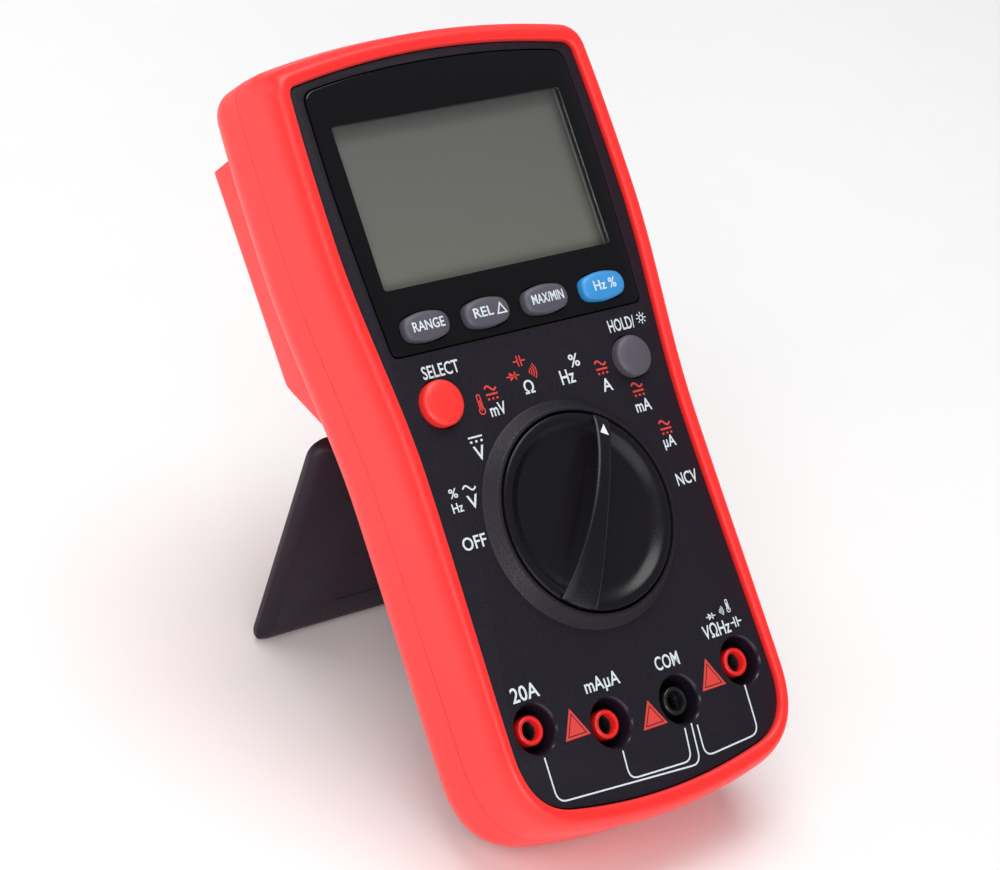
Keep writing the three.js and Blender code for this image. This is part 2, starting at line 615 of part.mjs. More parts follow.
function battery() {
  const { long, high, thick, y, front } = BATTERY;
  const x0 = 22.5 - long;
  const back = front - thick;
  const can = solid(prism(roundedRectangle(x0, 20.5, y - high / 2, y + high / 2, 2.5), back, front, 2));
  const studs = [-1, 1].map((side) => solid(crossRod(2.6, 19, 22.4, y + side * 6.3, (front + back) / 2, 12)));
  return geometryOf(joined(can, ...studs));
}

function batterySnap() {
  const { thick, y, front } = BATTERY;
  const mid = front - thick / 2;
  return box(22.8, 25.6, y - 12.5, y + 12.5, mid - 5.5, mid + 5.5);
}

function chip(x, y, half, high) {
  const back = BOARD.front - BOARD.thick - GAP;
  return box(x - half, x + half, y - half, y + half, back - high, back);
}

// ---- stand ----
function inHinge(geometry) {
  return geometry.rotateX(THREE.MathUtils.degToRad(STAND.open)).translate(0, STAND.y, STAND.z);
}

// Drawn folded, with its hinge axis on x and its free end towards -y; then swung open.
function stand() {
  const half = STAND.thick / 2;
  const outline = (inset) => {
    const s = new THREE.Path();
    const w = STAND.half - inset;
    const end = -STAND.long + inset;
    s.moveTo(0, end).lineTo(w - 3, end).quadraticCurveTo(w, end, w, end + 3).lineTo(w, -9);
    s.quadraticCurveTo(w, -5.5, w - 3, -5).lineTo(STAND.mid, -4.4).lineTo(STAND.mid, 0).lineTo(0, 0);
    return mirrored(s.getPoints(4));
  };
  const edge = [[1, -half], [0, -half + 1], [0, half - 1.6], [2.6, half]];
  const plate = loft(edge.map(([inset, z]) => ringAt(outline(inset), z)));
  const barrel = crossRod(STAND.barrel, -STAND.mid, STAND.mid, 0, 0, 16);
  const panel = prism(roundedRectangle(-17, 17, -STAND.long + 8, -14, 2), half - 0.4, half + 1, 3);
  const grip = box(-9, 9, -STAND.long - 1, -STAND.long + 1.6, -half - 1, -half + 1.6);
  const bores = [[PIN.from - GAP, 40], [-40, GAP - PIN.from]].map(([x0, x1]) =>
    solid(crossRod(PIN.r + GAP, x0, x1, 0, 0, 12)));
  const body = joined(solid(plate), solid(barrel));
  return inHinge(geometryOf(cut(body, solid(panel), solid(grip), ...bores)));
}

function hingePin(side) {
  const ends = [side * PIN.from, side * PIN.to].sort((a, b) => a - b);
  return crossRod(PIN.r, ends[0], ends[1], STAND.y, STAND.z, 12);
}

// ---- assembly ----
const meter = new THREE.Group();

function add(name, geometry, look) {
  const mesh = new THREE.Mesh(geometry, new THREE.MeshStandardMaterial(look));
  mesh.name = name;
  meter.add(mesh);
}

add("front_bumper", frontBumper(), RED_RUBBER);
add("front_case", frontCase(), BLACK_CASE);
add("rear_case", rearCase(), RED_RUBBER);
add("battery_door", batteryDoor(), RED_RUBBER);
add("battery_door_screw", onHump(screw(0, DOOR.screw, 0.8, 6, 0.7, DOOR.head)), STEEL);
SCREWS.forEach(([x, y], i) => add(`case_screw_${i + 1}`, screw(x, y, SCREW.seat - GAP, 15, 2), STEEL));
add("rating_label", ratingLabel(), finish(0xc9c9c9, 0.5));

add("display_lens", displayLens(), BLACK_GLOSS);
add("lcd_glass", lcdGlass(), finish(0x6c6c68, 0.25));
add("lcd_frame", lcdFrame(), finish(0xe8e8e4, 0.6));
add("backlight", box(-30, 30, 39.5, 70.5, -8.6, LCD.front - LCD.thick - GAP), finish(0xf0f0f0, 0.4));
add("contact_strip_upper", contactStrip(72.4), finish(0x383838, 0.8));
add("contact_strip_lower", contactStrip(37.4), finish(0x383838, 0.8));

const KEY_NAMES = ["range_key", "relative_key", "max_min_key", "hertz_key"];
KEY_PLACES.forEach((x, i) => add(KEY_NAMES[i], key(x), i === 3 ? finish(0x2d82c8, 0.45) : GREY_RUBBER));
add("select_button", roundButton(BUTTON.select, -BUTTON.x), finish(0xe8282c, 0.45));
add("hold_button", roundButton(BUTTON.hold, BUTTON.x), GREY_RUBBER);
add("keypad", keypad(), finish(0x8a8a90, 0.8));

add("knob", knob(), finish(0x1a181c, 0.45));
add("knob_rotor", knobRotor(), finish(0xe0dcd0, 0.6));
add("wiper_inner", wiper(11, 20), BRASS);
add("wiper_outer", wiper(13.6, 200), BRASS);
for (const [word, side] of [["left", -1], ["right", 1]]) {
  add(`detent_ball_${word}`, detentBall(side), STEEL);
  add(`detent_spring_${word}`, detentSpring(side), STEEL);
}

add("main_board", mainBoard(), finish(0x1f6a3c, 0.5));
BOARD_SCREWS.forEach((place, i) => add(`board_screw_${i + 1}`, boardScrew(place), STEEL));
for (const jack of JACKS) {
  const colour = jack.colour === "red" ? finish(0xe0201c, 0.35) : BLACK_GLOSS;
  add(`jack_sleeve_${jack.name}`, jackSleeve(jack), colour);
  add(`jack_contact_${jack.name}`, jackContact(jack), BRASS);
}
for (const item of FUSES) {
  add(`fuse_${item.name}`, fuse(item), finish(0xd8d4cc, 0.4));
  add(`fuse_clip_${item.name}_left`, fuseClip(item, -1), BRASS);
  add(`fuse_clip_${item.name}_right`, fuseClip(item, 1), BRASS);
}
add("shunt", shunt(), finish(0xb87848, 0.3, 1));
add("buzzer", buzzer(), BLACK_CASE);
add("processor_chip", chip(0, 2, 6, 1.6), BLACK_CASE);
add("converter_chip", chip(-18, -8, 4, 1.4), BLACK_CASE);
add("voltage_sensor", box(-8, 8, 78.2, 79.2, BOARD.front + GAP, -9), BRASS);
add("battery", battery(), finish(0x3c3c40, 0.4));
add("battery_snap", batterySnap(), BLACK_CASE);
add("battery_lead_red", batteryLead(1), finish(0xc82020, 0.5));
add("battery_lead_black", batteryLead(-1), BLACK_CASE);

add("stand", stand(), finish(0x282028, 0.5));
add("hinge_pin_left", hingePin(-1), STEEL);
add("hinge_pin_right", hingePin(1), STEEL);

// Lean the meter back until it stands on its heel and on the foot of the stand.
meter.rotation.x = THREE.MathUtils.degToRad(LEAN);
const assembly = new THREE.Group();
assembly.add(meter);
assembly.updateMatrixWorld(true);
const bounds = new THREE.Box3().setFromObject(assembly, true);
meter.position.set(0, -(bounds.min.y + bounds.max.y) / 2, -bounds.min.z);

export default assembly;
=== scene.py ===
"""Finished looks of a digital multimeter on its open rear stand, laid out as a Blender add-on.

Pieces are drawn in the meter's own frame, in millimetres: x to the right, y up along the face and z out of
the face, with z = 0 on the black front panel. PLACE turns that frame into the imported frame, in metres.
"""
import json
import math

import bmesh
import bpy
from bpy.props import FloatProperty, FloatVectorProperty, IntProperty, PointerProperty
from mathutils import Matrix, Vector


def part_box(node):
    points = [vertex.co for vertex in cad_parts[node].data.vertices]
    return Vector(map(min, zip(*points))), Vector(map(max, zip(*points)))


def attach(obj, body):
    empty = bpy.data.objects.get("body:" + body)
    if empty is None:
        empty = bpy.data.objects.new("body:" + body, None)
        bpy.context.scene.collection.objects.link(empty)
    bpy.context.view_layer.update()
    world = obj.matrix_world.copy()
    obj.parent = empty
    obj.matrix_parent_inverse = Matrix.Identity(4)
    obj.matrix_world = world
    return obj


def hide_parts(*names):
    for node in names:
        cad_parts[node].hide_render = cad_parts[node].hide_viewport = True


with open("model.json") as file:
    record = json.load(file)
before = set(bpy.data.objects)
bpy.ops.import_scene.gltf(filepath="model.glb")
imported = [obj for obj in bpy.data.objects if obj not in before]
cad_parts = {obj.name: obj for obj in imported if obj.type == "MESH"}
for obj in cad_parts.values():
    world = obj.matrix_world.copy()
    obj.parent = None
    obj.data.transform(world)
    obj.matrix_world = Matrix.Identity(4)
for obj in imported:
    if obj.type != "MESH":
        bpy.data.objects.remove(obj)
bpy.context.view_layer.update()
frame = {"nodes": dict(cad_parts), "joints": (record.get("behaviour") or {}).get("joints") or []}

bl_info = {
    "name": "Digital multimeter",
    "version": (1, 0, 0),
    "blender": (4, 5, 0),
    "location": "3D View > Sidebar > Meter",
    "description": "Builds the shells, display, keys, knob, jacks, stand and markings of a handheld meter",
    "category": "Add Mesh",
}

# ---- the meter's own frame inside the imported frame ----
MM = 0.001
KNOB_Y = -16.65
KNOB_JOINT = next(joint for joint in frame["joints"] if joint["name"] == "knob_turn")
STAND_JOINT = next(joint for joint in frame["joints"] if joint["name"] == "stand_fold")
OUT = Vector(KNOB_JOINT["axis"]).normalized()
ACROSS = Vector((1, 0, 0))
UP = OUT.cross(ACROSS)
ORIGIN = Vector(KNOB_JOINT["pos_m"]) - UP * KNOB_Y * MM
TURN = Matrix((ACROSS, UP, OUT)).transposed().to_4x4()
PLACE = Matrix.Translation(ORIGIN) @ TURN @ Matrix.Scale(MM, 4)
HINGE = PLACE.inverted() @ Vector(STAND_JOINT["pos_m"])

# ---- sizes in millimetres that the CAD model has too ----
GAP = 0.3
FACE = {"base": 35.6, "low": 34.7, "high": 38.3, "top": 86, "bottom": -75.8}
CROWN = {"top": 3.2, "bottom": 2.6}
FLARE = {"from": -2, "to": 50}
RIM = 4
RIM_FRONT = 1.3
PARTING = -13
PANEL = 2.6
BACK = -28
BACK_ROUND = 9
WALL = 2
SWELL = 2.2
HUMP = {"half": 35, "low": 29.2, "high": 78.5, "back": -39, "tilt": 1.2, "foot": 16.5, "corner": 1.5}
HUMP_WALL = 3.2
DOOR = {"half": 30, "low": 35.5, "high": 70.5, "thick": 1.6, "screw": 67, "head": 2.4}
HATCH = {"half": 28, "low": 37.1, "high": 64.2}
LENS = {"top": 83.5, "bottom": 23.8, "wide": 34.6, "narrow": 33.2, "front": 0.25, "back": -0.9}
WINDOW = {"half": 30.2, "low": 37.5, "high": 73}
LCD = {"half": 31.3, "low": 35.8, "high": 74.2}
KEY = {"y": 28.7, "pitch": 15.75, "half": 5.75, "high": 6.3, "up": 2.2}
BUTTON = {"x": 25.6, "y": 12.6, "up": 2.2}
LIP = {"low": -4, "high": -2.95, "out": 0.9}
STEM = {"r": 2.2, "low": -11.1}
DIAL = {"outer": 24.3, "inner": 21.7, "up": 2.75, "floor": -0.6}
KNOB = {"r": 21, "up": 2.9, "dish": 1.5, "dish_r": 16.1, "shaft": 6, "back": -14.2, "pointer": 30}
JACKS = {"20a": (-28.1, -55.6), "ma": (-9.4, -59.3), "com": (9.4, -59.3), "volt": (28.1, -55.6)}
JACK = {"mouth": 5.3, "bore": 4.9, "tube": 6.2, "deep": -16.2, "sleeve": 3.1, "hole": 2.1, "top": -1.5}
SCREWS = [(-33.5, 81.2), (33.5, 81.2), (-28.5, -67.5), (28.5, -67.5)]
SCREW = {"head": 3, "shaft": 1.5, "well": 3.4, "seat": -24.5, "post": 3.2, "boss": 4.4}
STAND = {"half": 35.2, "long": 62, "thick": 3.5, "barrel": 2.3, "mid": 20, "open": 54.5}
EAR = {"r": 3.4, "out": 26}
PIN = {"r": 1.2, "from": 16, "to": 24.6}
LABEL = {"half": 24, "low": -40, "high": -2, "deep": 0.6}

# ---- sizes in millimetres of the finished surfaces alone ----
SEAM = 0.1          # between the front and rear shells
SEAM_ROUND = 0.12   # on each shell's edge along that seam
HUMP_ROUND = 2.4    # on the battery housing's back edge
WELL_MOUTH = 4.4    # radius of a screw well where it leaves the back
THREAD = 0.8        # from one turn of a screw's thread to the next
INK = 0.035         # by which a marking stands proud
INK_SUNK = 0.1      # by which it reaches into its surface
FAR = 60            # past the outside of everything
ROUND = 64          # segments of a turned piece


# ---- drawing ----
def build(name, points, faces):
    """A linked mesh object from points in the meter's frame."""
    mesh = bpy.data.meshes.new(name)
    mesh.from_pydata([tuple(point) for point in points], [], faces)
    mesh.update()
    piece = bpy.data.objects.new(name, mesh)
    bpy.context.scene.collection.objects.link(piece)
    return piece


def bezier(points, count):
    """Count points along the Bezier curve of these control points, without its last point."""
    found = []
    for i in range(count):
        level = [Vector(point) for point in points]
        while len(level) > 1:
            level = [a.lerp(b, i / count) for a, b in zip(level, level[1:])]
        found.append(level[0])
    return found


def arc(x, y, r, start, end, count):
    """Count points along an arc, both ends among them. Angles are in degrees."""
    turns = [math.radians(start + (end - start) * i / (count - 1)) for i in range(count)]
    return [Vector((x + r * math.cos(a), y + r * math.sin(a))) for a in turns]


def radians(*degrees):
    return [math.radians(turn) for turn in degrees]


def mirrored(half):
    """A closed outline from its right half, listed from the bottom centre to the top centre."""
    return half + [Vector((-p.x, p.y)) for p in reversed(half[1:-1])]


def ring_at(outline, z):
    return [Vector((p.x, p.y, z)) for p in outline]


def loft(name, rings, looped=False):
    """Stacks rings of equal length, each counter-clockwise seen from the front and ordered back to front."""
    count = len(rings[0])
    faces = []
    for j in range(len(rings) if looped else len(rings) - 1):
        here, after = j * count, (j + 1) % len(rings) * count
        for i in range(count):
            k = (i + 1) % count
            faces.append((here + i, here + k, after + k, after + i))
    if not looped:
        faces.append(tuple(reversed(range(count))))
        faces.append(tuple(range((len(rings) - 1) * count, len(rings) * count)))
    return build(name, [point for ring in rings for point in ring], faces)


def turned(name, profile, x=0.0, y=0.0, segments=ROUND):
    """A solid turned about z, from (radius, z) corners listed from the back up the outside to the front.
    A profile that touches the axis at neither end closes on itself."""
    points, rows, faces = [], [], []
    for r, z in profile:
        count = segments if r > 0 else 1
        rows.append([len(points) + i % count for i in range(segments)])
        turns = [2 * math.pi * i / segments for i in range(count)]
        points += [(x + r * math.cos(a), y + r * math.sin(a), z) for a in turns]
    pairs = list(zip(rows, rows[1:]))
    if profile[0][0] > 0:
        pairs.append((rows[-1], rows[0]))
    for below, above in pairs:
        for i in range(segments):
            k = (i + 1) % segments
            corners = [below[i], below[k], above[k], above[i]]
            faces.append(tuple(dict.fromkeys(corners)))
    return build(name, points, faces)


def rod(r, low, high, x=0.0, y=0.0, segments=ROUND):
    return turned("rod", [(0, low), (r, low), (r, high), (0, high)], x, y, segments)


def rounded_corners(x0, x1, y0, y1, r, count=7):
    return [
        *arc(x1 - r, y0 + r, r, -90, 0, count), *arc(x1 - r, y1 - r, r, 0, 90, count),
        *arc(x0 + r, y1 - r, r, 90, 180, count), *arc(x0 + r, y0 + r, r, 180, 270, count),
    ]


def slab(outline, low, high):
    """An outline pushed from low to high."""
    return loft("slab", [ring_at(outline, low), ring_at(outline, high)])


def box(x0, x1, y0, y1, z0, z1):
    return slab([Vector(p) for p in ((x0, y0), (x1, y0), (x1, y1), (x0, y1))], z0, z1)


def cross_rod(r, x0, x1, y, z, segments=40):
    """A rod along x."""
    piece = rod(r, x0, x1, segments=segments)
    piece.data.transform(Matrix.Translation((0, y, z)) @ Matrix.Rotation(math.radians(90), 4, "Y"))
    return piece


# ---- joining and cutting ----
def settled(piece):
    """The piece with its modifiers made into plain mesh."""
    bpy.context.view_layer.update()
    graph = bpy.context.evaluated_depsgraph_get()
    mesh = bpy.data.meshes.new_from_object(piece.evaluated_get(graph))
    piece.modifiers.clear()
    old = piece.data
    piece.data = mesh
    bpy.data.meshes.remove(old)
    return piece


def combined(base, operation, tools):
    """Base joined with, cut by or kept inside the tools, which are used up."""
    for tool in tools:
        change = base.modifiers.new(operation, "BOOLEAN")
        change.operation = operation
        change.solver = "MANIFOLD"
        change.object = tool
    settled(base)
    for tool in tools:
        remove(tool)
    if len(base.data.polygons) == 0:
        raise RuntimeError(f"nothing is left of {base.name}")
    return base


def joined(base, *tools):
    return combined(base, "UNION", tools)


def cut(base, *tools):
    return combined(base, "DIFFERENCE", tools)


def remove(piece):
    mesh = piece.data
    bpy.data.objects.remove(piece)
    bpy.data.meshes.remove(mesh)


def merged(name, parts):
    """One piece from separate parts, which stay separate shells."""
    shape = bmesh.new()
    for part in parts:
        shape.from_mesh(part.data)
        remove(part)
    mesh = bpy.data.meshes.new(name)
    shape.to_mesh(mesh)
    shape.free()
    piece = bpy.data.objects.new(name, mesh)
    bpy.context.scene.collection.objects.link(piece)
    return piece


def finished(piece, name, body, looks, replaces=(), paint=None, crease=32):
    """Names a piece, gives it its materials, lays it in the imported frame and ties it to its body.
    Paint takes a face's centre and facing in the meter's frame and gives the number of its material."""
    piece.name = piece.data.name = name
    mesh = piece.data
    mesh.materials.clear()
    for look in looks:
        mesh.materials.append(look)
    for face in mesh.polygons:
        face.material_index = paint(face.center, face.normal) if paint else 0
    mesh.transform(PLACE)
    mesh.shade_smooth()
    mesh.set_sharp_from_angle(angle=math.radians(crease))
    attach(piece, body)
    if replaces:
        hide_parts(*replaces)
    return piece


# ---- materials ----
def surface(name, colour, roughness, metallic=0.0, mottle=0.05, grain=0.4, bump=0.02, wear=0.06,
            stretch=(1, 1, 1), **fixed):
    """A moulded, cast or drawn finish. Grain is the size of the texture in millimetres, bump its depth,
    mottle the share by which the colour varies and wear the amount by which the roughness does."""
    look = bpy.data.materials.new(name)
    look.use_nodes = True
    tree = look.node_tree
    shader = tree.nodes["Principled BSDF"]
    for socket, value in {"Metallic": metallic, **fixed}.items():
        shader.inputs[socket].default_value = value
    place = tree.nodes.new("ShaderNodeTexCoord")
    mapping = tree.nodes.new("ShaderNodeMapping")
    mapping.inputs["Scale"].default_value = stretch
    mapping.inputs["Rotation"].default_value = TURN.to_euler()
    tree.links.new(place.outputs["Object"], mapping.inputs["Vector"])
    fine = noise_texture(tree, mapping, 1 / (grain * MM), 3)
    broad = noise_texture(tree, mapping, 1 / (22 * MM), 2)
    tint = tree.nodes.new("ShaderNodeMix")
    tint.data_type = "RGBA"
    tint.inputs["A"].default_value = (*[c * (1 - mottle) for c in colour[:3]], 1)
    tint.inputs["B"].default_value = (*[min(1, c * (1 + mottle)) for c in colour[:3]], 1)
    tree.links.new(broad.outputs["Fac"], tint.inputs["Factor"])
    tree.links.new(tint.outputs["Result"], shader.inputs["Base Color"])
    worn = tree.nodes.new("ShaderNodeMapRange")
    worn.inputs["From Min"].default_value = 0.3
    worn.inputs["From Max"].default_value = 0.7
    worn.inputs["To Min"].default_value = max(0.02, roughness - wear)
    worn.inputs["To Max"].default_value = min(1, roughness + wear)
    tree.links.new(fine.outputs["Fac"], worn.inputs["Value"])
    tree.links.new(worn.outputs["Result"], shader.inputs["Roughness"])
    if bump:
        relief = tree.nodes.new("ShaderNodeBump")
        relief.inputs["Strength"].default_value = 1
        relief.inputs["Distance"].default_value = bump * MM
        tree.links.new(fine.outputs["Fac"], relief.inputs["Height"])
        tree.links.new(relief.outputs["Normal"], shader.inputs["Normal"])
    return look


def noise_texture(tree, mapping, scale, detail):
    texture = tree.nodes.new("ShaderNodeTexNoise")
    texture.inputs["Scale"].default_value = scale
    texture.inputs["Detail"].default_value = detail
    tree.links.new(mapping.outputs["Vector"], texture.inputs["Vector"])
    return texture


def clear_pane(name):
    """A thin clear sheet that mirrors by the angle it is seen at and lets light straight through."""
    look = bpy.data.materials.new(name)
    look.use_nodes = True
    tree = look.node_tree
    tree.nodes.remove(tree.nodes["Principled BSDF"])
    through = tree.nodes.new("ShaderNodeBsdfTransparent")
    through.inputs["Color"].default_value = (0.93, 0.93, 0.93, 1)
    mirror = tree.nodes.new("ShaderNodeBsdfGlossy")
    mirror.inputs["Roughness"].default_value = 0.04
    mirror.inputs["Color"].default_value = (0.6, 0.6, 0.62, 1)
    share = tree.nodes.new("ShaderNodeFresnel")
    share.inputs["IOR"].default_value = 1.3
    both = tree.nodes.new("ShaderNodeMixShader")
    tree.links.new(share.outputs["Fac"], both.inputs["Fac"])
    tree.links.new(through.outputs["BSDF"], both.inputs[1])
    tree.links.new(mirror.outputs["BSDF"], both.inputs[2])
    tree.links.new(both.outputs["Shader"], tree.nodes["Material Output"].inputs["Surface"])
    return look


def display_film(name, colour):
    """The polarising film of a blank display: greyer at its top, greener and lighter towards its foot."""
    look = surface(name, colour, 0.32, mottle=0.0, grain=0.25, bump=0.002, wear=0.04)
    tree = look.node_tree
    shader = tree.nodes["Principled BSDF"]
    place = tree.nodes["Texture Coordinate"]
    low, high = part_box("lcd_glass")
    rise = tree.nodes.new("ShaderNodeSeparateXYZ")
    tree.links.new(place.outputs["Object"], rise.inputs["Vector"])
    fade = tree.nodes.new("ShaderNodeMapRange")
    fade.inputs["From Min"].default_value = low.z
    fade.inputs["From Max"].default_value = high.z
    tree.links.new(rise.outputs["Z"], fade.inputs["Value"])
    tint = tree.nodes.new("ShaderNodeMix")
    tint.data_type = "RGBA"
    tint.inputs["A"].default_value = (colour[0] * 1.06, colour[1] * 1.07, colour[2], 1)
    tint.inputs["B"].default_value = (colour[0] * 0.84, colour[1] * 0.84, colour[2] * 0.9, 1)
    tree.links.new(fade.outputs["Result"], tint.inputs["Factor"])
    tree.links.new(tint.outputs["Result"], shader.inputs["Base Color"])
    return look


def circuit_board(name):
    """Green solder mask over copper tracks, which show as a lighter green pattern."""
    look = surface(name, (0.012, 0.09, 0.035), 0.3, grain=0.8, bump=0.0)
    tree = look.node_tree
    shader = tree.nodes["Principled BSDF"]
    cells = tree.nodes.new("ShaderNodeTexVoronoi")
    cells.feature = "DISTANCE_TO_EDGE"
    cells.distance = "EUCLIDEAN"
    cells.inputs["Scale"].default_value = 1 / (5 * MM)
    cells.inputs["Randomness"].default_value = 0.85
    tree.links.new(tree.nodes["Mapping"].outputs["Vector"], cells.inputs["Vector"])
    track = tree.nodes.new("ShaderNodeMapRange")
    track.inputs["From Min"].default_value = 0.03
    track.inputs["From Max"].default_value = 0.05
    tree.links.new(cells.outputs["Distance"], track.inputs["Value"])
    tint = tree.nodes.new("ShaderNodeMix")
    tint.data_type = "RGBA"
    tint.inputs["A"].default_value = (0.04, 0.2, 0.06, 1)
    tint.inputs["B"].default_value = (0.012, 0.09, 0.035, 1)
    tree.links.new(track.outputs["Result"], tint.inputs["Factor"])
    tree.links.new(tint.outputs["Result"], shader.inputs["Base Color"])
    return look


LOOKS = {}


def look_of(name, maker, *values, **options):
    """Each finish is made once."""
    if name not in LOOKS:
        LOOKS[name] = maker(name, *values, **options)
    return LOOKS[name]


def red_rubber(settings):
    return look_of("Red rubber", surface, settings.red, settings.softness, mottle=0.03, grain=0.35,
                   bump=0.006, wear=0.05, **{"Specular IOR Level": 0.5, "Sheen Weight": 0.08})


def black_plastic(settings):
    return look_of("Spark-finished black plastic", surface, settings.black, 0.48, mottle=0.12, grain=0.45,
                   bump=0.06, wear=0.1, **{"Specular IOR Level": 0.28})


def steel():
    return look_of("Zinc-plated steel", surface, (0.62, 0.62, 0.64), 0.3, metallic=1.0, grain=0.5, bump=0.004)


def brass():
    return look_of("Nickel brass", surface, (0.72, 0.56, 0.3), 0.26, metallic=1.0, grain=0.6, bump=0.004)


# ---- outlines that several pieces share ----
def case_outline(grow, drop=0.0, rise=0.0):
    """The case's outline, grown from the panel's edge, with its foot dropped and its head raised."""
    base, low, high = FACE["base"] + min(grow, 0.8 * grow), FACE["low"] + grow, FACE["high"] + grow
    top, bottom = FACE["top"] + grow + rise, FACE["bottom"] - 1.15 * grow - drop
    foot, head = 10 + max(grow, -4), max(1.2, 2.2 + 0.6 * grow)
    shoulder = high - 0.7
    start, end = FLARE["from"], FLARE["to"]
    heel, brow = bottom + CROWN["bottom"], top - CROWN["top"]
    foot_slope = 2 * CROWN["bottom"] / (base - foot)
    head_slope = 2 * CROWN["top"] / (shoulder - head)
    return mirrored([
        *bezier([(0, bottom), ((base - foot) / 2, bottom), (base - foot, heel)], 12),
        *bezier([(base - foot, heel), (base, heel + foot_slope * foot), (base, heel + 1.4 * foot)], 18),
        *bezier([(base, heel + 1.4 * foot), (base, heel + 2.8 * foot), (low, start - 20), (low, start)], 12),
        *bezier([(low, start), (low, start + 18), (high, end - 18), (high, end)], 22),
        *bezier([(high, end), (high, (end + top) / 2), (shoulder, brow - 1.4 * head)], 12),
        *bezier([(shoulder, brow - 1.4 * head), (shoulder, brow - head_slope * head),
                 (shoulder - head, brow)], 12),
        *bezier([(shoulder - head, brow), ((shoulder - head) / 2, top), (0, top)], 12),
        Vector((0, top)),
    ])


def case_ring(grow, z, drop=0.0, rise=0.0):
    return ring_at(case_outline(grow, drop, rise), z)


def lens_outline(grow=0.0):
    wide, narrow = LENS["wide"] + grow, LENS["narrow"] + grow
    top, bottom = LENS["top"] + grow, LENS["bottom"] - grow
    return mirrored([
        *bezier([(0, bottom), (narrow - 2, bottom)], 8),
        *bezier([(narrow - 2, bottom), (narrow, bottom), (narrow, bottom + 2)], 6),
        *bezier([(narrow, bottom + 2), (wide, 50), (wide, 62)], 14),
        *bezier([(wide, 62), (wide - 0.3, top - 5.5)], 6),
        *bezier([(wide - 0.3, top - 5.5), (wide - 0.3, top - 2.5), (wide - 3.5, top - 2.2)], 8),
        *bezier([(wide - 3.5, top - 2.2), (wide / 2, top), (0, top)], 14),
        Vector((0, top)),
    ])


def key_outline(x, grow=0.0, bulge=0.5, count=8):
    """A barrel-shaped key, counter-clockwise from its lower left."""
    w, h, y = KEY["half"] + grow, KEY["high"] / 2 + grow, KEY["y"]
    lower, upper = y - h + bulge, y + h - bulge
    return [
        *bezier([(x - w + 2, lower), (x, y - h - bulge), (x + w - 2, lower)], count),
        *bezier([(x + w - 2, lower), (x + w, y - h + 1), (x + w, y)], count),
        *bezier([(x + w, y), (x + w, y + h - 1), (x + w - 2, upper)], count),
        *bezier([(x + w - 2, upper), (x, y + h + bulge), (x - w + 2, upper)], count),
        *bezier([(x - w + 2, upper), (x - w, y + h - 1), (x - w, y)], count),
        *bezier([(x - w, y), (x - w, y - h + 1), (x - w + 2, lower)], count),
    ]


def key_places():
    names = ("range_key", "relative_key", "max_min_key", "hertz_key")
    return {name: (n - 1.5) * KEY["pitch"] for n, name in enumerate(names)}


def key_holes(low, high):
    return [slab(key_outline(x, GAP), low, high) for x in key_places().values()]


# ---- shells ----
def bumper_section():
    """(grow, z) corners round the red edge: up its outer side, over the bead and down to the panel."""
    front = RIM_FRONT - 0.03
    side = [(RIM, z) for z in (PARTING + SEAM_ROUND, -11, -9, -7.5, -6, -4.5)]
    outer = [(RIM - SEAM_ROUND, PARTING), *side]
    bead = bezier([(RIM, -3), (RIM - 0.1, -0.4), (2.85, front), (1.7, front)], 12)
    lip = bezier([(1.7, front), (0.7, front), (0, 1.05), (0, 0.1)], 8)
    inside = [(0, 0.1), (0, -0.9), (2.5, -0.9), (2.5, PARTING)]
    return [*outer, *[tuple(p) for p in bead], *[tuple(p) for p in lip], *inside]


def head_rise(grow, z):
    """How far the head bulges beyond its front edge at this depth."""
    if grow <= 2.6:
        return 0
    heights = [(PARTING, SWELL), (-7.5, SWELL * 0.8), (-3, 0.6), (-0.8, 0.3), (0.4, 0)]
    for (z0, rise0), (z1, rise1) in zip(heights, heights[1:]):
        if z <= z1:
            return rise0 + (rise1 - rise0) * max(0, (z - z0) / (z1 - z0))
    return 0


def build_front_bumper(settings):
    rings = [case_ring(grow, z, 0, head_rise(grow, z)) for grow, z in bumper_section()]
    piece = loft("front_bumper", rings, looped=True)
    finished(piece, "front_bumper_shell", "case", [red_rubber(settings)], ["front_bumper"])


def hump_ring(inset, rise, low, high, tilt=HUMP["tilt"]):
    """A ring of the battery housing, whose back slopes by tilt from its low edge to its high edge."""
    side = HUMP["half"] - inset
    outline = rounded_corners(-side, side, low + inset, high - inset, HUMP["corner"])
    slope = tilt / (HUMP["high"] - HUMP["low"])
    return [Vector((p.x, p.y, HUMP["back"] + rise - slope * (p.y - HUMP["low"]))) for p in outline]


def on_hump(piece):
    """Moves a shape drawn with z = 0 on the housing's sloping back, and +z inward, into place."""
    slope = math.atan2(HUMP["tilt"], HUMP["high"] - HUMP["low"])
    piece.data.transform(
        Matrix.Translation((0, HUMP["low"], HUMP["back"]))
        @ Matrix.Rotation(-slope, 4, "X")
        @ Matrix.Translation((0, -HUMP["low"], 0))
    )
    return piece


def rear_rings():
    """The rear shell's outside: straight behind the parting line, then a round into the flat back.
    The base drops into a rounded foot."""
    rings = [(RIM - SEAM_ROUND, PARTING - SEAM, 0, SWELL), (RIM, PARTING - SEAM - SEAM_ROUND, 0, SWELL)]
    for step in range(1, 6):
        share = step / 6
        rings.append((RIM, PARTING - 6 * share, 0.25 * share, SWELL))
    for step in range(15):
        share = step / 14
        a = share * math.pi / 2
        grow = RIM - BACK_ROUND * (1 - math.cos(a))
        z = BACK + BACK_ROUND * (1 - math.sin(a))
        rings.append((grow, z, 0.25 + 1.2 * share + 2.1 * share**2, SWELL))
    return [case_ring(*ring) for ring in reversed(rings)]


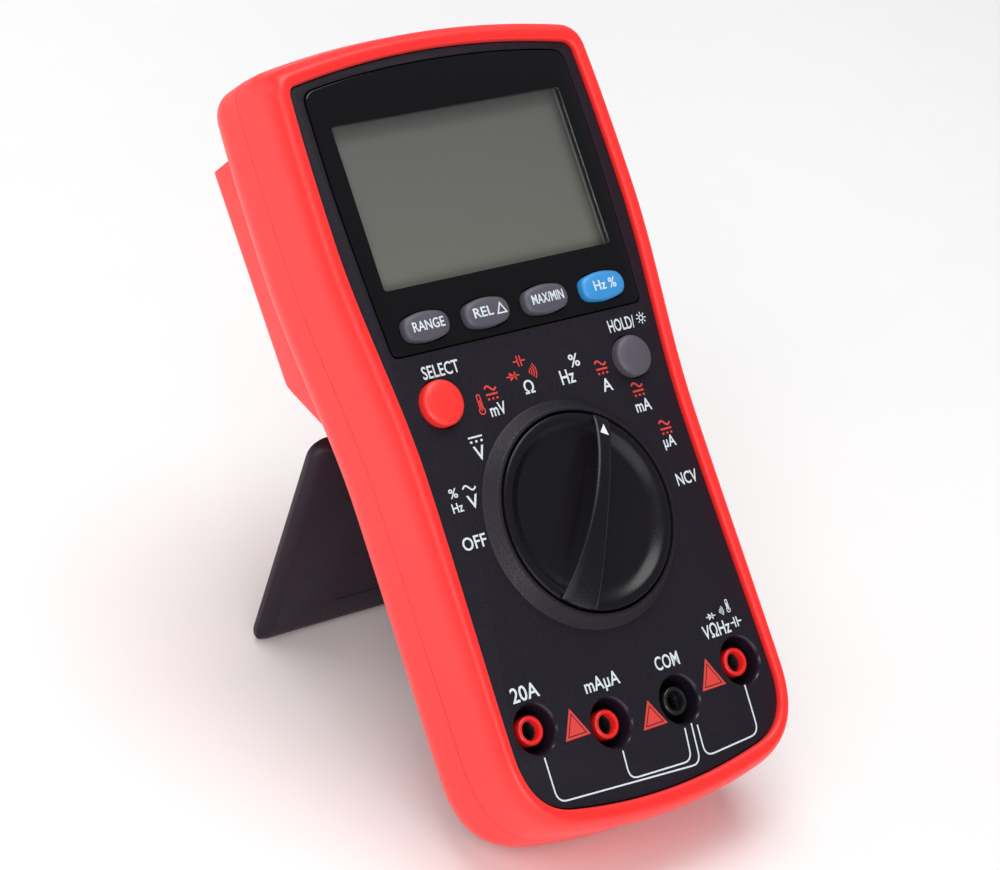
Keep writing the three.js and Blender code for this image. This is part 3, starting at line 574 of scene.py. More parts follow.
def stand_ear(side):
    """An ear that carries one end of the stand's hinge, rounded behind and flat against the case."""
    r, y, z = EAR["r"], HINGE.y, HINGE.z
    profile = arc(y, z, r, 175, 360, 20) + [Vector((y + r, BACK + 1)), Vector((y - r, BACK + 1))]
    ends = sorted([side * (STAND["mid"] + GAP), side * EAR["out"]])
    rings = [[Vector((x, p.x, p.y)) for p in profile] for x in ends]
    return loft("ear", rings)


def build_rear_case(settings):
    outer = loft("rear", rear_rings())
    inner = loft("inner", [
        case_ring(-3, BACK + WALL, 1), case_ring(-0.5, -23), case_ring(RIM - WALL, -18),
        case_ring(RIM - WALL, 0),
    ])
    turns = radians(0, 18, 36, 54, 72, 90)
    edge = [(HUMP_ROUND * (1 - math.sin(a)), HUMP_ROUND * (1 - math.cos(a))) for a in turns]
    hump = loft("hump", [
        *[hump_ring(inset, rise, HUMP["low"] - 1.08 * rise, HUMP["high"] + 0.1 * rise)
          for inset, rise in edge],
        hump_ring(-0.8, BACK + 1 - HUMP["back"], HUMP["foot"], HUMP["high"] + 3.8, 0),
    ])
    pocket = loft("pocket", [
        hump_ring(HUMP_WALL, HUMP_WALL, HUMP["low"], HUMP["high"]),
        hump_ring(HUMP_WALL, BACK + 3 - HUMP["back"], HUMP["foot"] + 6, HUMP["high"] + 1, 0),
    ])
    body = cut(joined(outer, hump), inner, pocket)
    bosses = []
    for x, y in SCREWS:
        boss = rod(SCREW["boss"], BACK + 0.5, PARTING - 1, x, y, 40)
        bosses.append(combined(boss, "INTERSECT", [loft("rear", rear_rings())]))
    door_post = on_hump(rod(2.8, HUMP_WALL - 0.5, 11, 0, DOOR["screw"], 40))
    body = joined(body, *bosses, stand_ear(-1), stand_ear(1), door_post)
    skin = loft("skin", [case_ring(RIM - WALL, PARTING - 2.2), case_ring(RIM - WALL, 0)])
    seat = rounded_corners(-DOOR["half"], DOOR["half"], DOOR["low"], DOOR["high"], 3)
    hatch = rounded_corners(-HATCH["half"], HATCH["half"], HATCH["low"], HATCH["high"], 2)
    reach = PIN["to"] + GAP
    well = [(0, -FAR), (WELL_MOUTH, -FAR), (WELL_MOUTH, BACK - 0.2), (SCREW["well"], BACK + 0.6),
            (SCREW["well"], SCREW["seat"]), (0, SCREW["seat"])]
    body = cut(
        body, skin,
        *[turned("well", well, x, y, 48) for x, y in SCREWS],
        *[rod(SCREW["shaft"] + GAP, -FAR, 0, x, y, 24) for x, y in SCREWS],
        on_hump(slab(seat, -9, DOOR["thick"] + GAP)),
        on_hump(slab(hatch, -9, 9)),
        on_hump(rod(SCREW["shaft"] + GAP, -9, 12, 0, DOOR["screw"], 24)),
        cross_rod(PIN["r"] + GAP, -reach, reach, HINGE.y, HINGE.z),
        cross_rod(STAND["barrel"] + 2 * GAP, -STAND["mid"] - GAP, STAND["mid"] + GAP, HINGE.y, HINGE.z),
        box(-LABEL["half"] - GAP, LABEL["half"] + GAP, LABEL["low"] - GAP, LABEL["high"] + GAP,
            -FAR, BACK + LABEL["deep"]),
    )
    finished(body, "rear_case_shell", "case", [red_rubber(settings)], ["rear_case"])


def build_front_case(settings):
    plate = loft("plate", [
        case_ring(2.2, PARTING + 0.2), case_ring(2.2, -1.2), case_ring(-GAP, -1.2), case_ring(-GAP, -0.2),
        case_ring(-0.36, -0.05), case_ring(-0.5, 0),
    ])
    cavity = loft("cavity", [case_ring(0.4, PARTING - 1), case_ring(0.4, -PANEL)])
    crest = [(DIAL["inner"] + 0.9 * math.sin(a), DIAL["up"] - 0.5 * (1 - math.cos(a)))
             for a in radians(0, 20, 40, 60)]
    collar = turned("collar", [
        (0, -1), (DIAL["outer"] + 0.15, -1), (DIAL["outer"] + 0.15, -0.02), (DIAL["outer"] - 0.35, 0.3),
        *reversed(crest), (0, DIAL["up"]),
    ], 0, KNOB_Y, 128)
    body = joined(
        cut(plate, cavity), collar, rod(9, -8, -1, 0, KNOB_Y),
        *[rod(JACK["tube"], JACK["deep"], -1, x, y) for x, y in JACKS.values()],
        *[rod(SCREW["post"], PARTING + 0.2, -1, x, y, 32) for x, y in SCREWS],
    )
    mouth = [(JACK["bore"], -0.9), (JACK["bore"] + 0.1, -0.6), (JACK["mouth"] - 0.1, -0.3),
             (JACK["mouth"] + 0.15, 0.0), (JACK["mouth"] + 0.3, 1)]
    wells = [turned("well", [(0, -30), (JACK["bore"], -30), *mouth, (0, 1)], x, y) for x, y in JACKS.values()]
    body = cut(
        body, rod(DIAL["inner"] - 0.1, DIAL["floor"], 9, 0, KNOB_Y, 128),
        rod(KNOB["shaft"] + GAP, -20, 9, 0, KNOB_Y), *wells,
        *[rod(SCREW["shaft"] + GAP, PARTING - 1, -4, x, y, 16) for x, y in SCREWS],
        slab(lens_outline(GAP), LENS["back"] - GAP, 1),
        box(-LCD["half"], LCD["half"], LCD["low"] + 0.4, LCD["high"] - 0.4, -9, 1),
        *key_holes(-9, 1),
        rod(4.9 + GAP, -9, 1, -BUTTON["x"], BUTTON["y"]), rod(4.5 + GAP, -9, 1, BUTTON["x"], BUTTON["y"]),
    )
    smooth = look_of("Smooth black plastic", surface, settings.black, 0.18, mottle=0.05, grain=1.5,
                     bump=0.003, wear=0.04)
    # Painted light: the display opening's side walls in the black moulding are painted grey to stand in for
    # the light they catch.
    window_wall_light = look_of("Grey window lining", surface, (0.12, 0.12, 0.125), 0.5, mottle=0.05, grain=0.5,
                     bump=0.004)

    def paint(centre, facing):
        near_jack = min(math.hypot(centre.x - x, centre.y - y) for x, y in JACKS.values())
        if near_jack < JACK["mouth"] + 0.3 and -12 < centre.z < -0.01:
            return 1
        # The display opening's side walls take the grey of painted light.
        window = abs(centre.x) < LCD["half"] + 0.1 and LCD["low"] < centre.y < LCD["high"]
        return 2 if window and abs(facing.z) < 0.1 and centre.z > -3 else 0

    finished(body, "front_case_shell", "case", [black_plastic(settings), smooth, window_wall_light],
             ["front_case"], paint)


def build_battery_door(settings):
    half, low, high, thick = DOOR["half"] - GAP, DOOR["low"] + GAP, DOOR["high"] - GAP, DOOR["thick"]
    rings = [ring_at(rounded_corners(-half + i, half - i, low + i, high - i, 2.7), z)
             for i, z in ((0.35, 0), (0.1, 0.1), (0, 0.35), (0, thick))]
    door = loft("door", rings)
    door = on_hump(cut(
        door, rod(SCREW["shaft"] + GAP, -9, 9, 0, DOOR["screw"]),
        rod(DOOR["head"] + GAP, -9, 1.1, 0, DOOR["screw"]),
        *[slab(rounded_corners(-8 + abs(n), 8 - abs(n), 43.65 + n * 2, 44.35 + n * 2, 0.34), -9, 0.45)
          for n in range(-3, 4)],
    ))
    finished(door, "battery_door_plate", "case", [red_rubber(settings)], ["battery_door"])


# ---- what repeats: one tree that copies a part to every point of a mesh ----
def copies_tree():
    """A node tree that puts a part at each point, in the size asked for, and gives it a material."""
    if "Copies at places" in bpy.data.node_groups:
        return bpy.data.node_groups["Copies at places"]
    tree = bpy.data.node_groups.new("Copies at places", "GeometryNodeTree")
    tree.is_modifier = True
    face = tree.interface
    face.new_socket("Places", in_out="INPUT", socket_type="NodeSocketGeometry")
    face.new_socket("Part", in_out="INPUT", socket_type="NodeSocketObject")
    size = face.new_socket("Size", in_out="INPUT", socket_type="NodeSocketFloat")
    size.default_value = 1
    turn = face.new_socket("Turn between copies", in_out="INPUT", socket_type="NodeSocketFloat")
    turn.subtype = "ANGLE"
    face.new_socket("Finish", in_out="INPUT", socket_type="NodeSocketMaterial")
    face.new_socket("Copies", in_out="OUTPUT", socket_type="NodeSocketGeometry")
    given = tree.nodes.new("NodeGroupInput")
    made = tree.nodes.new("NodeGroupOutput")
    part = tree.nodes.new("GeometryNodeObjectInfo")
    number = tree.nodes.new("GeometryNodeInputIndex")
    angle = tree.nodes.new("ShaderNodeMath")
    angle.operation = "MULTIPLY"
    about = tree.nodes.new("ShaderNodeCombineXYZ")
    copy = tree.nodes.new("GeometryNodeInstanceOnPoints")
    real = tree.nodes.new("GeometryNodeRealizeInstances")
    dress = tree.nodes.new("GeometryNodeSetMaterial")
    link = tree.links.new
    link(given.outputs["Part"], part.inputs["Object"])
    link(given.outputs["Places"], copy.inputs["Points"])
    link(part.outputs["Geometry"], copy.inputs["Instance"])
    link(number.outputs["Index"], angle.inputs[0])
    link(given.outputs["Turn between copies"], angle.inputs[1])
    link(angle.outputs["Value"], about.inputs["Z"])
    link(about.outputs["Vector"], copy.inputs["Rotation"])
    link(given.outputs["Size"], copy.inputs["Scale"])
    link(copy.outputs["Instances"], real.inputs["Geometry"])
    link(real.outputs["Geometry"], dress.inputs["Geometry"])
    link(given.outputs["Finish"], dress.inputs["Material"])
    link(dress.outputs["Geometry"], made.inputs["Copies"])
    return tree


def copied(name, part, places, finish, turn=0.0):
    """Copies of a part, drawn about the origin, at these places."""
    points = build(name, places, [])
    tree = copies_tree()
    socket = {item.name: item.identifier for item in tree.interface.items_tree if item.in_out == "INPUT"}
    change = points.modifiers.new("Copies", "NODES")
    change.node_group = tree
    change[socket["Part"]] = part
    change[socket["Size"]] = 1.0
    change[socket["Turn between copies"]] = math.radians(turn)
    change[socket["Finish"]] = finish
    settled(points)
    remove(part)
    return points


def screw_shape(head, high, long, seat):
    """A pan-head screw with a cross recess, its head at the back."""
    back = seat - high
    dome = [(head * math.sin(a), seat - high * math.cos(a)) for a in
            radians(14, 28, 42, 56, 70, 84)]
    thread = []
    for n in range(int((long - 2) / THREAD)):
        z = seat + 1.5 + n * THREAD
        thread += [(SCREW["shaft"] - 0.2, z), (SCREW["shaft"], z + 0.3), (SCREW["shaft"], z + 0.45)]
    corners = [(0, back), *dome, (head, seat), (SCREW["shaft"], seat), *thread,
               (SCREW["shaft"] - 0.4, seat + long - 0.2), (0, seat + long)]
    screw = turned("screw", corners, segments=32)
    arm, half = head * 0.55, head * 0.11
    slots = [box(-arm, arm, -half, half, back - 1, back + high * 0.55),
             box(-half, half, -arm, arm, back - 1, back + high * 0.55)]
    return cut(screw, *slots)


def build_screws():
    case_screws = copied("screws", screw_shape(SCREW["head"], 2, 15, SCREW["seat"] - GAP),
                         [(x, y, 0) for x, y in SCREWS], steel(), 38)
    numbers = range(1, len(SCREWS) + 1)
    finished(case_screws, "case_screws", "case", [steel()], [f"case_screw_{n}" for n in numbers])
    door_screw = screw_shape(DOOR["head"], 0.7, 6, 0.8)
    door_screw.data.transform(Matrix.Translation((0, DOOR["screw"], 0)))
    finished(on_hump(door_screw), "door_screw", "case", [steel()], ["battery_door_screw"])


# ---- display ----
def build_display(settings):
    edge = [(0, LENS["back"]), (0, LENS["front"] - 0.3), (-0.08, LENS["front"] - 0.1), (-0.3, LENS["front"])]
    frame_plate = loft("lens", [ring_at(lens_outline(grow), z) for grow, z in edge])
    half, low, high = WINDOW["half"], WINDOW["low"], WINDOW["high"]
    opening = slab(rounded_corners(-half, half, low, high, 0.8), -9, 9)
    frame_plate = cut(frame_plate, opening, *key_holes(-9, 9))
    gloss = look_of("Printed black behind gloss", surface, settings.border, 0.07, mottle=0.02, grain=3,
                    bump=0.0, wear=0.02, **{"Specular IOR Level": 0.3})
    finished(frame_plate, "display_lens_border", "case", [gloss], ["display_lens"])
    inset = 0.02
    outline = rounded_corners(inset - half, half - inset, low + inset, high - inset, 0.8)
    pane = slab(outline, LENS["front"] - 0.3, LENS["front"] - inset)
    finished(pane, "display_window", "case", [look_of("Clear window", clear_pane)])
    dress("lcd_glass", look_of("Display film", display_film, settings.film))


# ---- keys, buttons and knob ----
def build_keys(settings):
    grey = look_of("Grey silicone", surface, settings.grey, 0.5, mottle=0.06, grain=0.5, bump=0.008)
    blue = look_of("Blue silicone", surface, settings.blue, 0.42, mottle=0.04, grain=0.5, bump=0.006)
    rounding = radians(0, 18, 36, 54, 72, 90)
    for name, x in key_places().items():
        top = KEY["up"]
        sides = [(0, LIP["low"] + 0.2), (0, top - 1.1)]
        sides += [(-1.1 * (1 - math.cos(a)), top - 1.1 + 0.95 * math.sin(a)) for a in rounding[1:]]
        sides += [(-1.5, top - 0.09), (-1.9, top - 0.03)]
        cap = loft(name, [ring_at(key_outline(x, grow, 0.5 + grow * 0.1), z) for grow, z in sides])
        lip = slab(key_outline(x, LIP["out"]), LIP["low"], LIP["high"])
        stem = rod(STEM["r"], STEM["low"], LIP["low"] + 0.3, x, KEY["y"], 24)
        look, slot = (blue, "blue_key") if name == "hertz_key" else (grey, "grey_key")
        finished(joined(cap, lip, stem), f"{name}_cap", name, [look], [name])


def round_button(r, x):
    top = BUTTON["up"]
    rim = [(r - 1.0 * (1 - math.cos(a)), top - 1.05 + 0.95 * math.sin(a)) for a in
           radians(0, 20, 40, 60, 80)]
    crown = [(r * share, top + 0.2 - 0.28 * share**2) for share in (0.7, 0.5, 0.25)]
    return turned("button", [
        (0, STEM["low"]), (STEM["r"], STEM["low"]), (STEM["r"], LIP["low"]), (r + LIP["out"], LIP["low"]),
        (r + LIP["out"], LIP["high"]), (r, LIP["high"]), *rim, *crown, (0, top + 0.2),
    ], x, BUTTON["y"])


def build_buttons(settings):
    red = look_of("Red silicone", surface, settings.red, 0.4, mottle=0.03, grain=0.5, bump=0.005)
    grey = look_of("Grey silicone", surface, settings.grey, 0.5, mottle=0.06, grain=0.5, bump=0.008)
    finished(round_button(4.9, -BUTTON["x"]), "select_button_cap", "select_button", [red],
             ["select_button"])
    finished(round_button(4.5, BUTTON["x"]), "hold_button_cap", "hold_button", [grey],
             ["hold_button"])


def bar_crest(along):
    """Height of the finger bar's top, from -1 at its tail to 1 at its pointer end."""
    return KNOB["up"] - 0.2 + 4.9 * max(0, 1 - along * along) ** 0.7


def finger_bar():
    """An arch across the dish, narrow in the middle, broad at the tail and flared at its foot."""
    rings, steps = [], 56
    low = KNOB["dish"] - 0.6
    for i in range(steps + 1):
        along = -1 + 2 * i / steps
        high = bar_crest(along)
        rise = high - low
        half = 1.95 - 1.2 * along + 1.5 * along**2
        base = max(2.6 - 0.9 * along, half + 0.1)
        waist = half - 0.1
        wall = [(base, low), (waist + (base - waist) * 0.35, low + rise * 0.2), (waist, low + rise * 0.45),
                (waist, low + rise * 0.7), (half - 0.03, high - 0.6), (half - 0.12, high - 0.3),
                (half - 0.35, high - 0.12), (half - 0.65, high - 0.04), (half * 0.45, high - 0.01)]
        section = wall + [(0, high)] + [(-x, z) for x, z in reversed(wall)]
        y = along * (KNOB["r"] + 0.5)
        rings.append([Vector((x, y, z)) for x, z in reversed(section)])
    return loft("bar", rings)


def build_knob(settings):
    r, up, dish = KNOB["r"], KNOB["up"], KNOB["dish"]
    foot = KNOB["dish_r"] - 0.4
    slope = bezier([(r - 1.5, up), (r - 2.4, up - 0.05), (foot + 1.8, dish), (foot, dish)], 10)
    disc = turned("knob", [
        (0, 0.2), (r - 0.4, 0.2), (r, 0.6), (r, up - 0.45), (r - 0.12, up - 0.15), (r - 0.4, up),
        *[tuple(p) for p in slope], (foot, dish), (0, dish),
    ], segments=128)
    bar = combined(finger_bar(), "INTERSECT", [rod(r - 0.02, -30, 30, segments=128)])
    shaft = rod(KNOB["shaft"], KNOB["back"], 0.6)
    knob = joined(disc, bar, shaft)
    knob.data.transform(knob_turn())
    black = look_of("Satin black plastic", surface, settings.knob, 0.27, mottle=0.08, grain=0.45,
                    bump=0.008, wear=0.05, **{"Specular IOR Level": 0.36})
    finished(knob, "knob_body", "knob", [black], ["knob"], crease=38)
    pointer = knob_pointer()
    pointer.data.transform(knob_turn())
    finished(pointer, "knob_pointer", "knob", [ink("Pointer ink", settings.ink)])


def knob_turn():
    return Matrix.Translation((0, KNOB_Y, 0)) @ Matrix.Rotation(math.radians(-KNOB["pointer"]), 4, "Z")


def knob_pointer():
    """A small triangle that lies on the bar's arch near its narrow end."""
    tail, tip, half, rows = 16.6, 19.0, 1.05, 8
    upper, lower = [], []
    for n in range(rows + 1):
        y = tail + (tip - tail) * n / rows
        width = max(0.04, half * (1 - n / rows))
        z = bar_crest(y / (KNOB["r"] + 0.5))
        upper += [(-width, y, z + INK), (width, y, z + INK)]
        lower += [(-width, y, z - 0.2), (width, y, z - 0.2)]
    faces, low = [], len(upper)
    for n in range(rows):
        a = 2 * n
        faces += [(a, a + 1, a + 3, a + 2), (low + a, low + a + 2, low + a + 3, low + a + 1),
                  (a, a + 2, low + a + 2, low + a), (a + 1, low + a + 1, low + a + 3, a + 3)]
    end = 2 * rows
    faces += [(0, low, low + 1, 1), (end, end + 1, low + end + 1, low + end)]
    return build("pointer", upper + lower, faces)


# ---- jacks ----
def sleeve_shape():
    s, hole, top, deep, bore = JACK["sleeve"], JACK["hole"], JACK["top"], JACK["deep"], JACK["bore"] - GAP
    return turned("sleeve", [
        (hole + 0.55, deep - 0.4), (bore, deep - 0.4), (bore, deep + 1.4), (s, deep + 1.8),
        (s, top - 0.5), (s - 0.06, top - 0.25), (s - 0.25, top - 0.06), (s - 0.45, top),
        (hole + 0.35, top), (hole + 0.12, top - 0.08), (hole, top - 0.3), (hole, top - 1.9),
        (hole + 0.55, top - 1.9),
    ], segments=48)


def contact_shape():
    back, deep = -19.6, JACK["deep"]
    return turned("contact", [
        (0, back), (0.9, back), (0.9, deep - 0.6), (2.35, deep), (2.35, -3.75), (2.25, -3.6), (2.1, -3.6),
        (2.02, -3.75), (2.02, deep + 1.4), (0, deep + 1.4),
    ], segments=40)


def build_jacks(settings):
    red = look_of("Red nylon", surface, settings.red, 0.3, mottle=0.04, grain=0.6, bump=0.003)
    black = look_of("Black nylon", surface, settings.black, 0.28, mottle=0.04, grain=0.6, bump=0.003)
    live = {name: (x, y, 0) for name, (x, y) in JACKS.items() if name != "com"}
    sleeves = copied("sleeves", sleeve_shape(), list(live.values()), red)
    finished(sleeves, "red_jack_sleeves", "case", [red], [f"jack_sleeve_{name}" for name in live])
    common = copied("sleeve", sleeve_shape(), [(*JACKS["com"], 0)], black)
    finished(common, "black_jack_sleeve", "case", [black], ["jack_sleeve_com"])
    # Painted shade: the contacts' nickel is painted dark to stand in for the shade deep in the jack bores.
    nickel = look_of("Dark nickel", surface, (0.25, 0.25, 0.26), 0.3, metallic=1.0, grain=0.6, bump=0.003)
    contacts = copied("contacts", contact_shape(), [(x, y, 0) for x, y in JACKS.values()], nickel)
    finished(contacts, "jack_contacts", "case", [nickel],
             [f"jack_contact_{name}" for name in JACKS])


# ---- printed markings ----
def ink(name, colour):
    return look_of(name, surface, colour, 0.45, mottle=0.03, grain=0.3, bump=0.004)


def plate(points, z=0.0):
    """A flat printed shape, counter-clockwise, that stands proud of its surface by the ink's thickness."""
    return slab([Vector(p) for p in points], z - INK_SUNK, z + INK)


def stroke(points, width, z=0.0, closed=False):
    """A printed line of even width."""
    path = [Vector(p[:2]) for p in points]
    count = len(path)
    left, right = [], []
    for i, point in enumerate(path):
        before = path[i - 1] if i or closed else point
        after = path[(i + 1) % count] if i < count - 1 or closed else point
        one, two = (point - before), (after - point)
        one = one.normalized() if one.length else two.normalized()
        two = two.normalized() if two.length else one
        along = (one + two).normalized() if (one + two).length > 1e-6 else one
        side = Vector((-along.y, along.x)) * width / 2 / max(0.5, along.dot(two))
        left.append(point + side)
        right.append(point - side)
    if closed:
        return ribbon_loop(left, right, z)
    return plate(right + list(reversed(left)), z)


def ribbon_loop(outer, inner, z):
    """A closed band between two outlines."""
    count = len(outer)
    levels = [(outer, z + INK), (inner, z + INK), (inner, z - INK_SUNK), (outer, z - INK_SUNK)]
    points = [Vector((p.x, p.y, height)) for outline, height in levels for p in outline]
    faces = []
    for j in range(4):
        here, after = j * count, (j + 1) % 4 * count
        for i in range(count):
            k = (i + 1) % count
            faces.append((here + i, after + i, after + k, here + k))
    return facing_out(build("loop", points, faces))


def facing_out(piece):
    shape = bmesh.new()
    shape.from_mesh(piece.data)
    bmesh.ops.recalc_face_normals(shape, faces=shape.faces)
    shape.to_mesh(piece.data)
    shape.free()
    return piece


def letters(text, x, y, high, wide, z=0.0, weight=0.012):
    """Printed letters centred on x and y, with this capital height and overall width."""
    curve = bpy.data.curves.new("letters", "FONT")
    curve.body = text
    curve.size = high / 0.682
    curve.offset = weight * curve.size
    curve.extrude = (INK + INK_SUNK) / 2
    curve.resolution_u = 3
    words = bpy.data.objects.new("letters", curve)
    bpy.context.scene.collection.objects.link(words)
    bpy.context.view_layer.update()
    graph = bpy.context.evaluated_depsgraph_get()
    mesh = bpy.data.meshes.new_from_object(words.evaluated_get(graph))
    bpy.data.objects.remove(words)
    bpy.data.curves.remove(curve)
    xs = [v.co.x for v in mesh.vertices]
    ys = [v.co.y for v in mesh.vertices]
    width = max(xs) - min(xs)
    centre = Matrix.Translation((-(min(xs) + max(xs)) / 2, -(min(ys) + max(ys)) / 2, 0))
    squeeze = Matrix.Diagonal((wide / width, 1, 1, 1))
    mesh.transform(Matrix.Translation((x, y, z + (INK - INK_SUNK) / 2)) @ squeeze @ centre)
    shape = bmesh.new()
    shape.from_mesh(mesh)
    bmesh.ops.remove_doubles(shape, verts=shape.verts, dist=0.0005)
    shape.to_mesh(mesh)
    shape.free()
    piece = bpy.data.objects.new("letters", mesh)
    bpy.context.scene.collection.objects.link(piece)
    return piece


def wave(x, y, wide, pen=0.36):
    steps = 14
    shares = [i / steps for i in range(steps + 1)]
    points = [(x + wide * (t - 0.5), y + 0.17 * wide * math.sin(2 * math.pi * t)) for t in shares]
    return [stroke(points, pen)]


def direct(x, y, wide, pen=0.36):
    """The mark for direct current: a bar over three dots."""
    dots = [stroke([(x + n * wide * 0.37 - 0.26, y - 0.95), (x + n * wide * 0.37 + 0.26, y - 0.95)], 0.46)
            for n in (-1, 0, 1)]
    return [stroke([(x - wide / 2, y), (x + wide / 2, y)], pen), *dots]


def either_current(x, y):
    return wave(x, y + 1.3, 3.0, 0.42) + direct(x, y, 3.0, 0.42)


def diode(x, y, s=1.0):
    lines = [stroke([(x - 1.7 * s, y), (x + 1.7 * s, y)], 0.28 * s),
             stroke([(x + 0.62 * s, y - 0.85 * s), (x + 0.62 * s, y + 0.85 * s)], 0.36 * s)]
    return [plate([(x - 0.85 * s, y - 0.95 * s), (x + 0.6 * s, y), (x - 0.85 * s, y + 0.95 * s)]), *lines]


def capacitor(x, y, s=1.0):
    marks = []
    for side in (-1, 1):
        middle = x + side * 0.38 * s
        marks.append(stroke([(middle, y - 1.15 * s), (middle, y + 1.15 * s)], 0.32 * s))
        ends = sorted([middle, x + side * 1.6 * s])
        marks.append(stroke([(ends[0], y), (ends[1], y)], 0.32 * s))
    return marks


def sound(x, y, s=1.0):
    return [stroke(arc(x - 1.1 * s, y, r * s, -42, 42, 8), 0.26 * s) for r in (0.55, 1.15, 1.75, 2.35)]


def thermometer(x, y, s=1.0):
    bulb = arc(x, y - 1.5 * s, 0.75 * s, 125, 415, 18)
    top = arc(x, y + 1.75 * s, 0.42 * s, 0, 180, 8)
    return [stroke(bulb + top, 0.3 * s, closed=True), stroke([(x, y - 1.5 * s), (x, y + 0.9 * s)], 0.34 * s)]


def sun(x, y, s=1.0):
    rays = []
    for n in range(8):
        a = math.radians(n * 45)
        near, far = 0.95 * s, 1.5 * s
        rays.append(stroke([(x + near * math.cos(a), y + near * math.sin(a)),
                            (x + far * math.cos(a), y + far * math.sin(a))], 0.26 * s))
    return [stroke(arc(x, y, 0.62 * s, 0, 337.5, 16), 0.28 * s, closed=True), *rays]


def bracket(points, r=2.2):
    """A line with rounded corners that leads from a jack round to the common jack."""
    path = [Vector(points[0])]
    for before, corner, after in zip(points, points[1:], points[2:]):
        before, corner, after = Vector(before), Vector(corner), Vector(after)
        start = corner + (before - corner).normalized() * r
        end = corner + (after - corner).normalized() * r
        path += [*bezier([start, corner, end], 7), end]
    return stroke(path + [Vector(points[-1])], 0.34)


def build_markings(settings):
    high = settings.letter_height / MM
    white = [
        letters("SELECT", -22.8, 19.5, high, 9.4), letters("HOLD/", 26.2, 19.9, high, 7.2),
        *sun(31.9, 20.2, 0.88),
        letters("OFF", -28.1, -16.2, high, 6.1), letters("V", -25.2, -8.2, 2.7, 2.7), *wave(-25.2, -5.3, 3.3),
        letters("%", -29.4, -5.6, 1.9, 2.1), letters("Hz", -29.4, -8.6, 1.9, 2.7),
        letters("V", -19.8, 1.0, 2.9, 2.7), *direct(-19.8, 4.4, 3.6), letters("mV", -12, 8.8, high, 4.1),
        letters("Ω", -2.6, 11.7, 2.6, 2.6), letters("Hz", 7.9, 11.8, 3.0, 3.7),
        letters("%", 10.9, 14.8, 2.6, 2.7), letters("A", 17.3, 8.1, 2.7, 2.6),
        letters("mA", 24.9, 2.0, 2.6, 4.2), letters("µA", 28.6, -7.1, 2.4, 3.3),
        letters("NCV", 30, -15.3, high, 5.7),
        letters("20A", -27.9, -48.0, 3.0, 7.0), letters("mAµA", -8.6, -51.1, 2.8, 9.2),
        letters("COM", 9.2, -50.9, 2.8, 6.5), letters("VΩHz", 24.6, -47.8, 2.8, 7.6),
        *capacitor(30.3, -47.6, 0.95), *diode(24.2, -44.9, 0.78), *sound(27.2, -44.5, 0.62),
        *thermometer(29.4, -43.8, 0.62),
        bracket([(-28.2, -61.6), (-28.4, -71), (9.3, -73.2), (10.2, -64.7)], 2.4),
        bracket([(-8.95, -65.4), (-9.4, -71.4), (7.3, -72.0), (8.2, -65.2)], 2.2),
        bracket([(11.6, -65.4), (11.1, -72.2), (26.6, -71.3), (27.1, -60.8)], 2.4),
    ]
    finished(merged("white", white), "white_markings", "case", [ink("White ink", settings.white)])
    red = [
        *either_current(-12.3, 12.1), *thermometer(-15.9, 10.6, 0.95), *diode(-5.7, 14.6),
        *capacitor(-3, 17.4), *sound(-0.7, 14.7), *either_current(17.3, 11.6),
        *either_current(24.9, 5.2), *either_current(28.8, -4.1),
    ]
    triangles = [(-18.6, -60.0, -53.8), (1.1, -63.0, -57.3), (19.1, -59.3, -52.9)]
    for x, base, apex in triangles:
        red.append(plate([(x - 3.3, base), (x + 3.3, base), (x, apex)]))
    finished(merged("red", red), "red_markings", "case", [ink("Red ink", settings.red)])
    dark = [stroke([(x - 2.3, base + 0.6), (x + 2.3, base + 0.6), (x, apex - 1.25)], 0.22, 0.02, closed=True)
            for x, base, apex in triangles]
    finished(merged("dark", dark), "triangle_outlines", "case", [ink("Black ink", (0.02, 0.015, 0.015))])
    build_key_legends(settings)


def build_key_legends(settings):
    white = ink("White ink", settings.white)
    top = KEY["up"] - 0.03
    y = KEY["y"] + 0.1
    place = key_places()
    x = place["relative_key"]
    triangle = [(x + 2.0, y - 1.05), (x + 4.3, y - 1.05), (x + 3.15, y + 1.05)]
    legends = {
        "range_key": [letters("RANGE", place["range_key"], y, 2.0, 8.0, top)],
        "relative_key": [letters("REL", x - 1.5, y, 2.0, 5.0, top), stroke(triangle, 0.3, top, closed=True)],
        "max_min_key": [letters("MAX/MIN", place["max_min_key"], y, 2.0, 8.4, top)],
        "hertz_key": [letters("Hz %", place["hertz_key"], y, 2.1, 6.0, top)],
    }
    for name, marks in legends.items():
        finished(merged(name, marks), f"{name}_legend", name, [white])


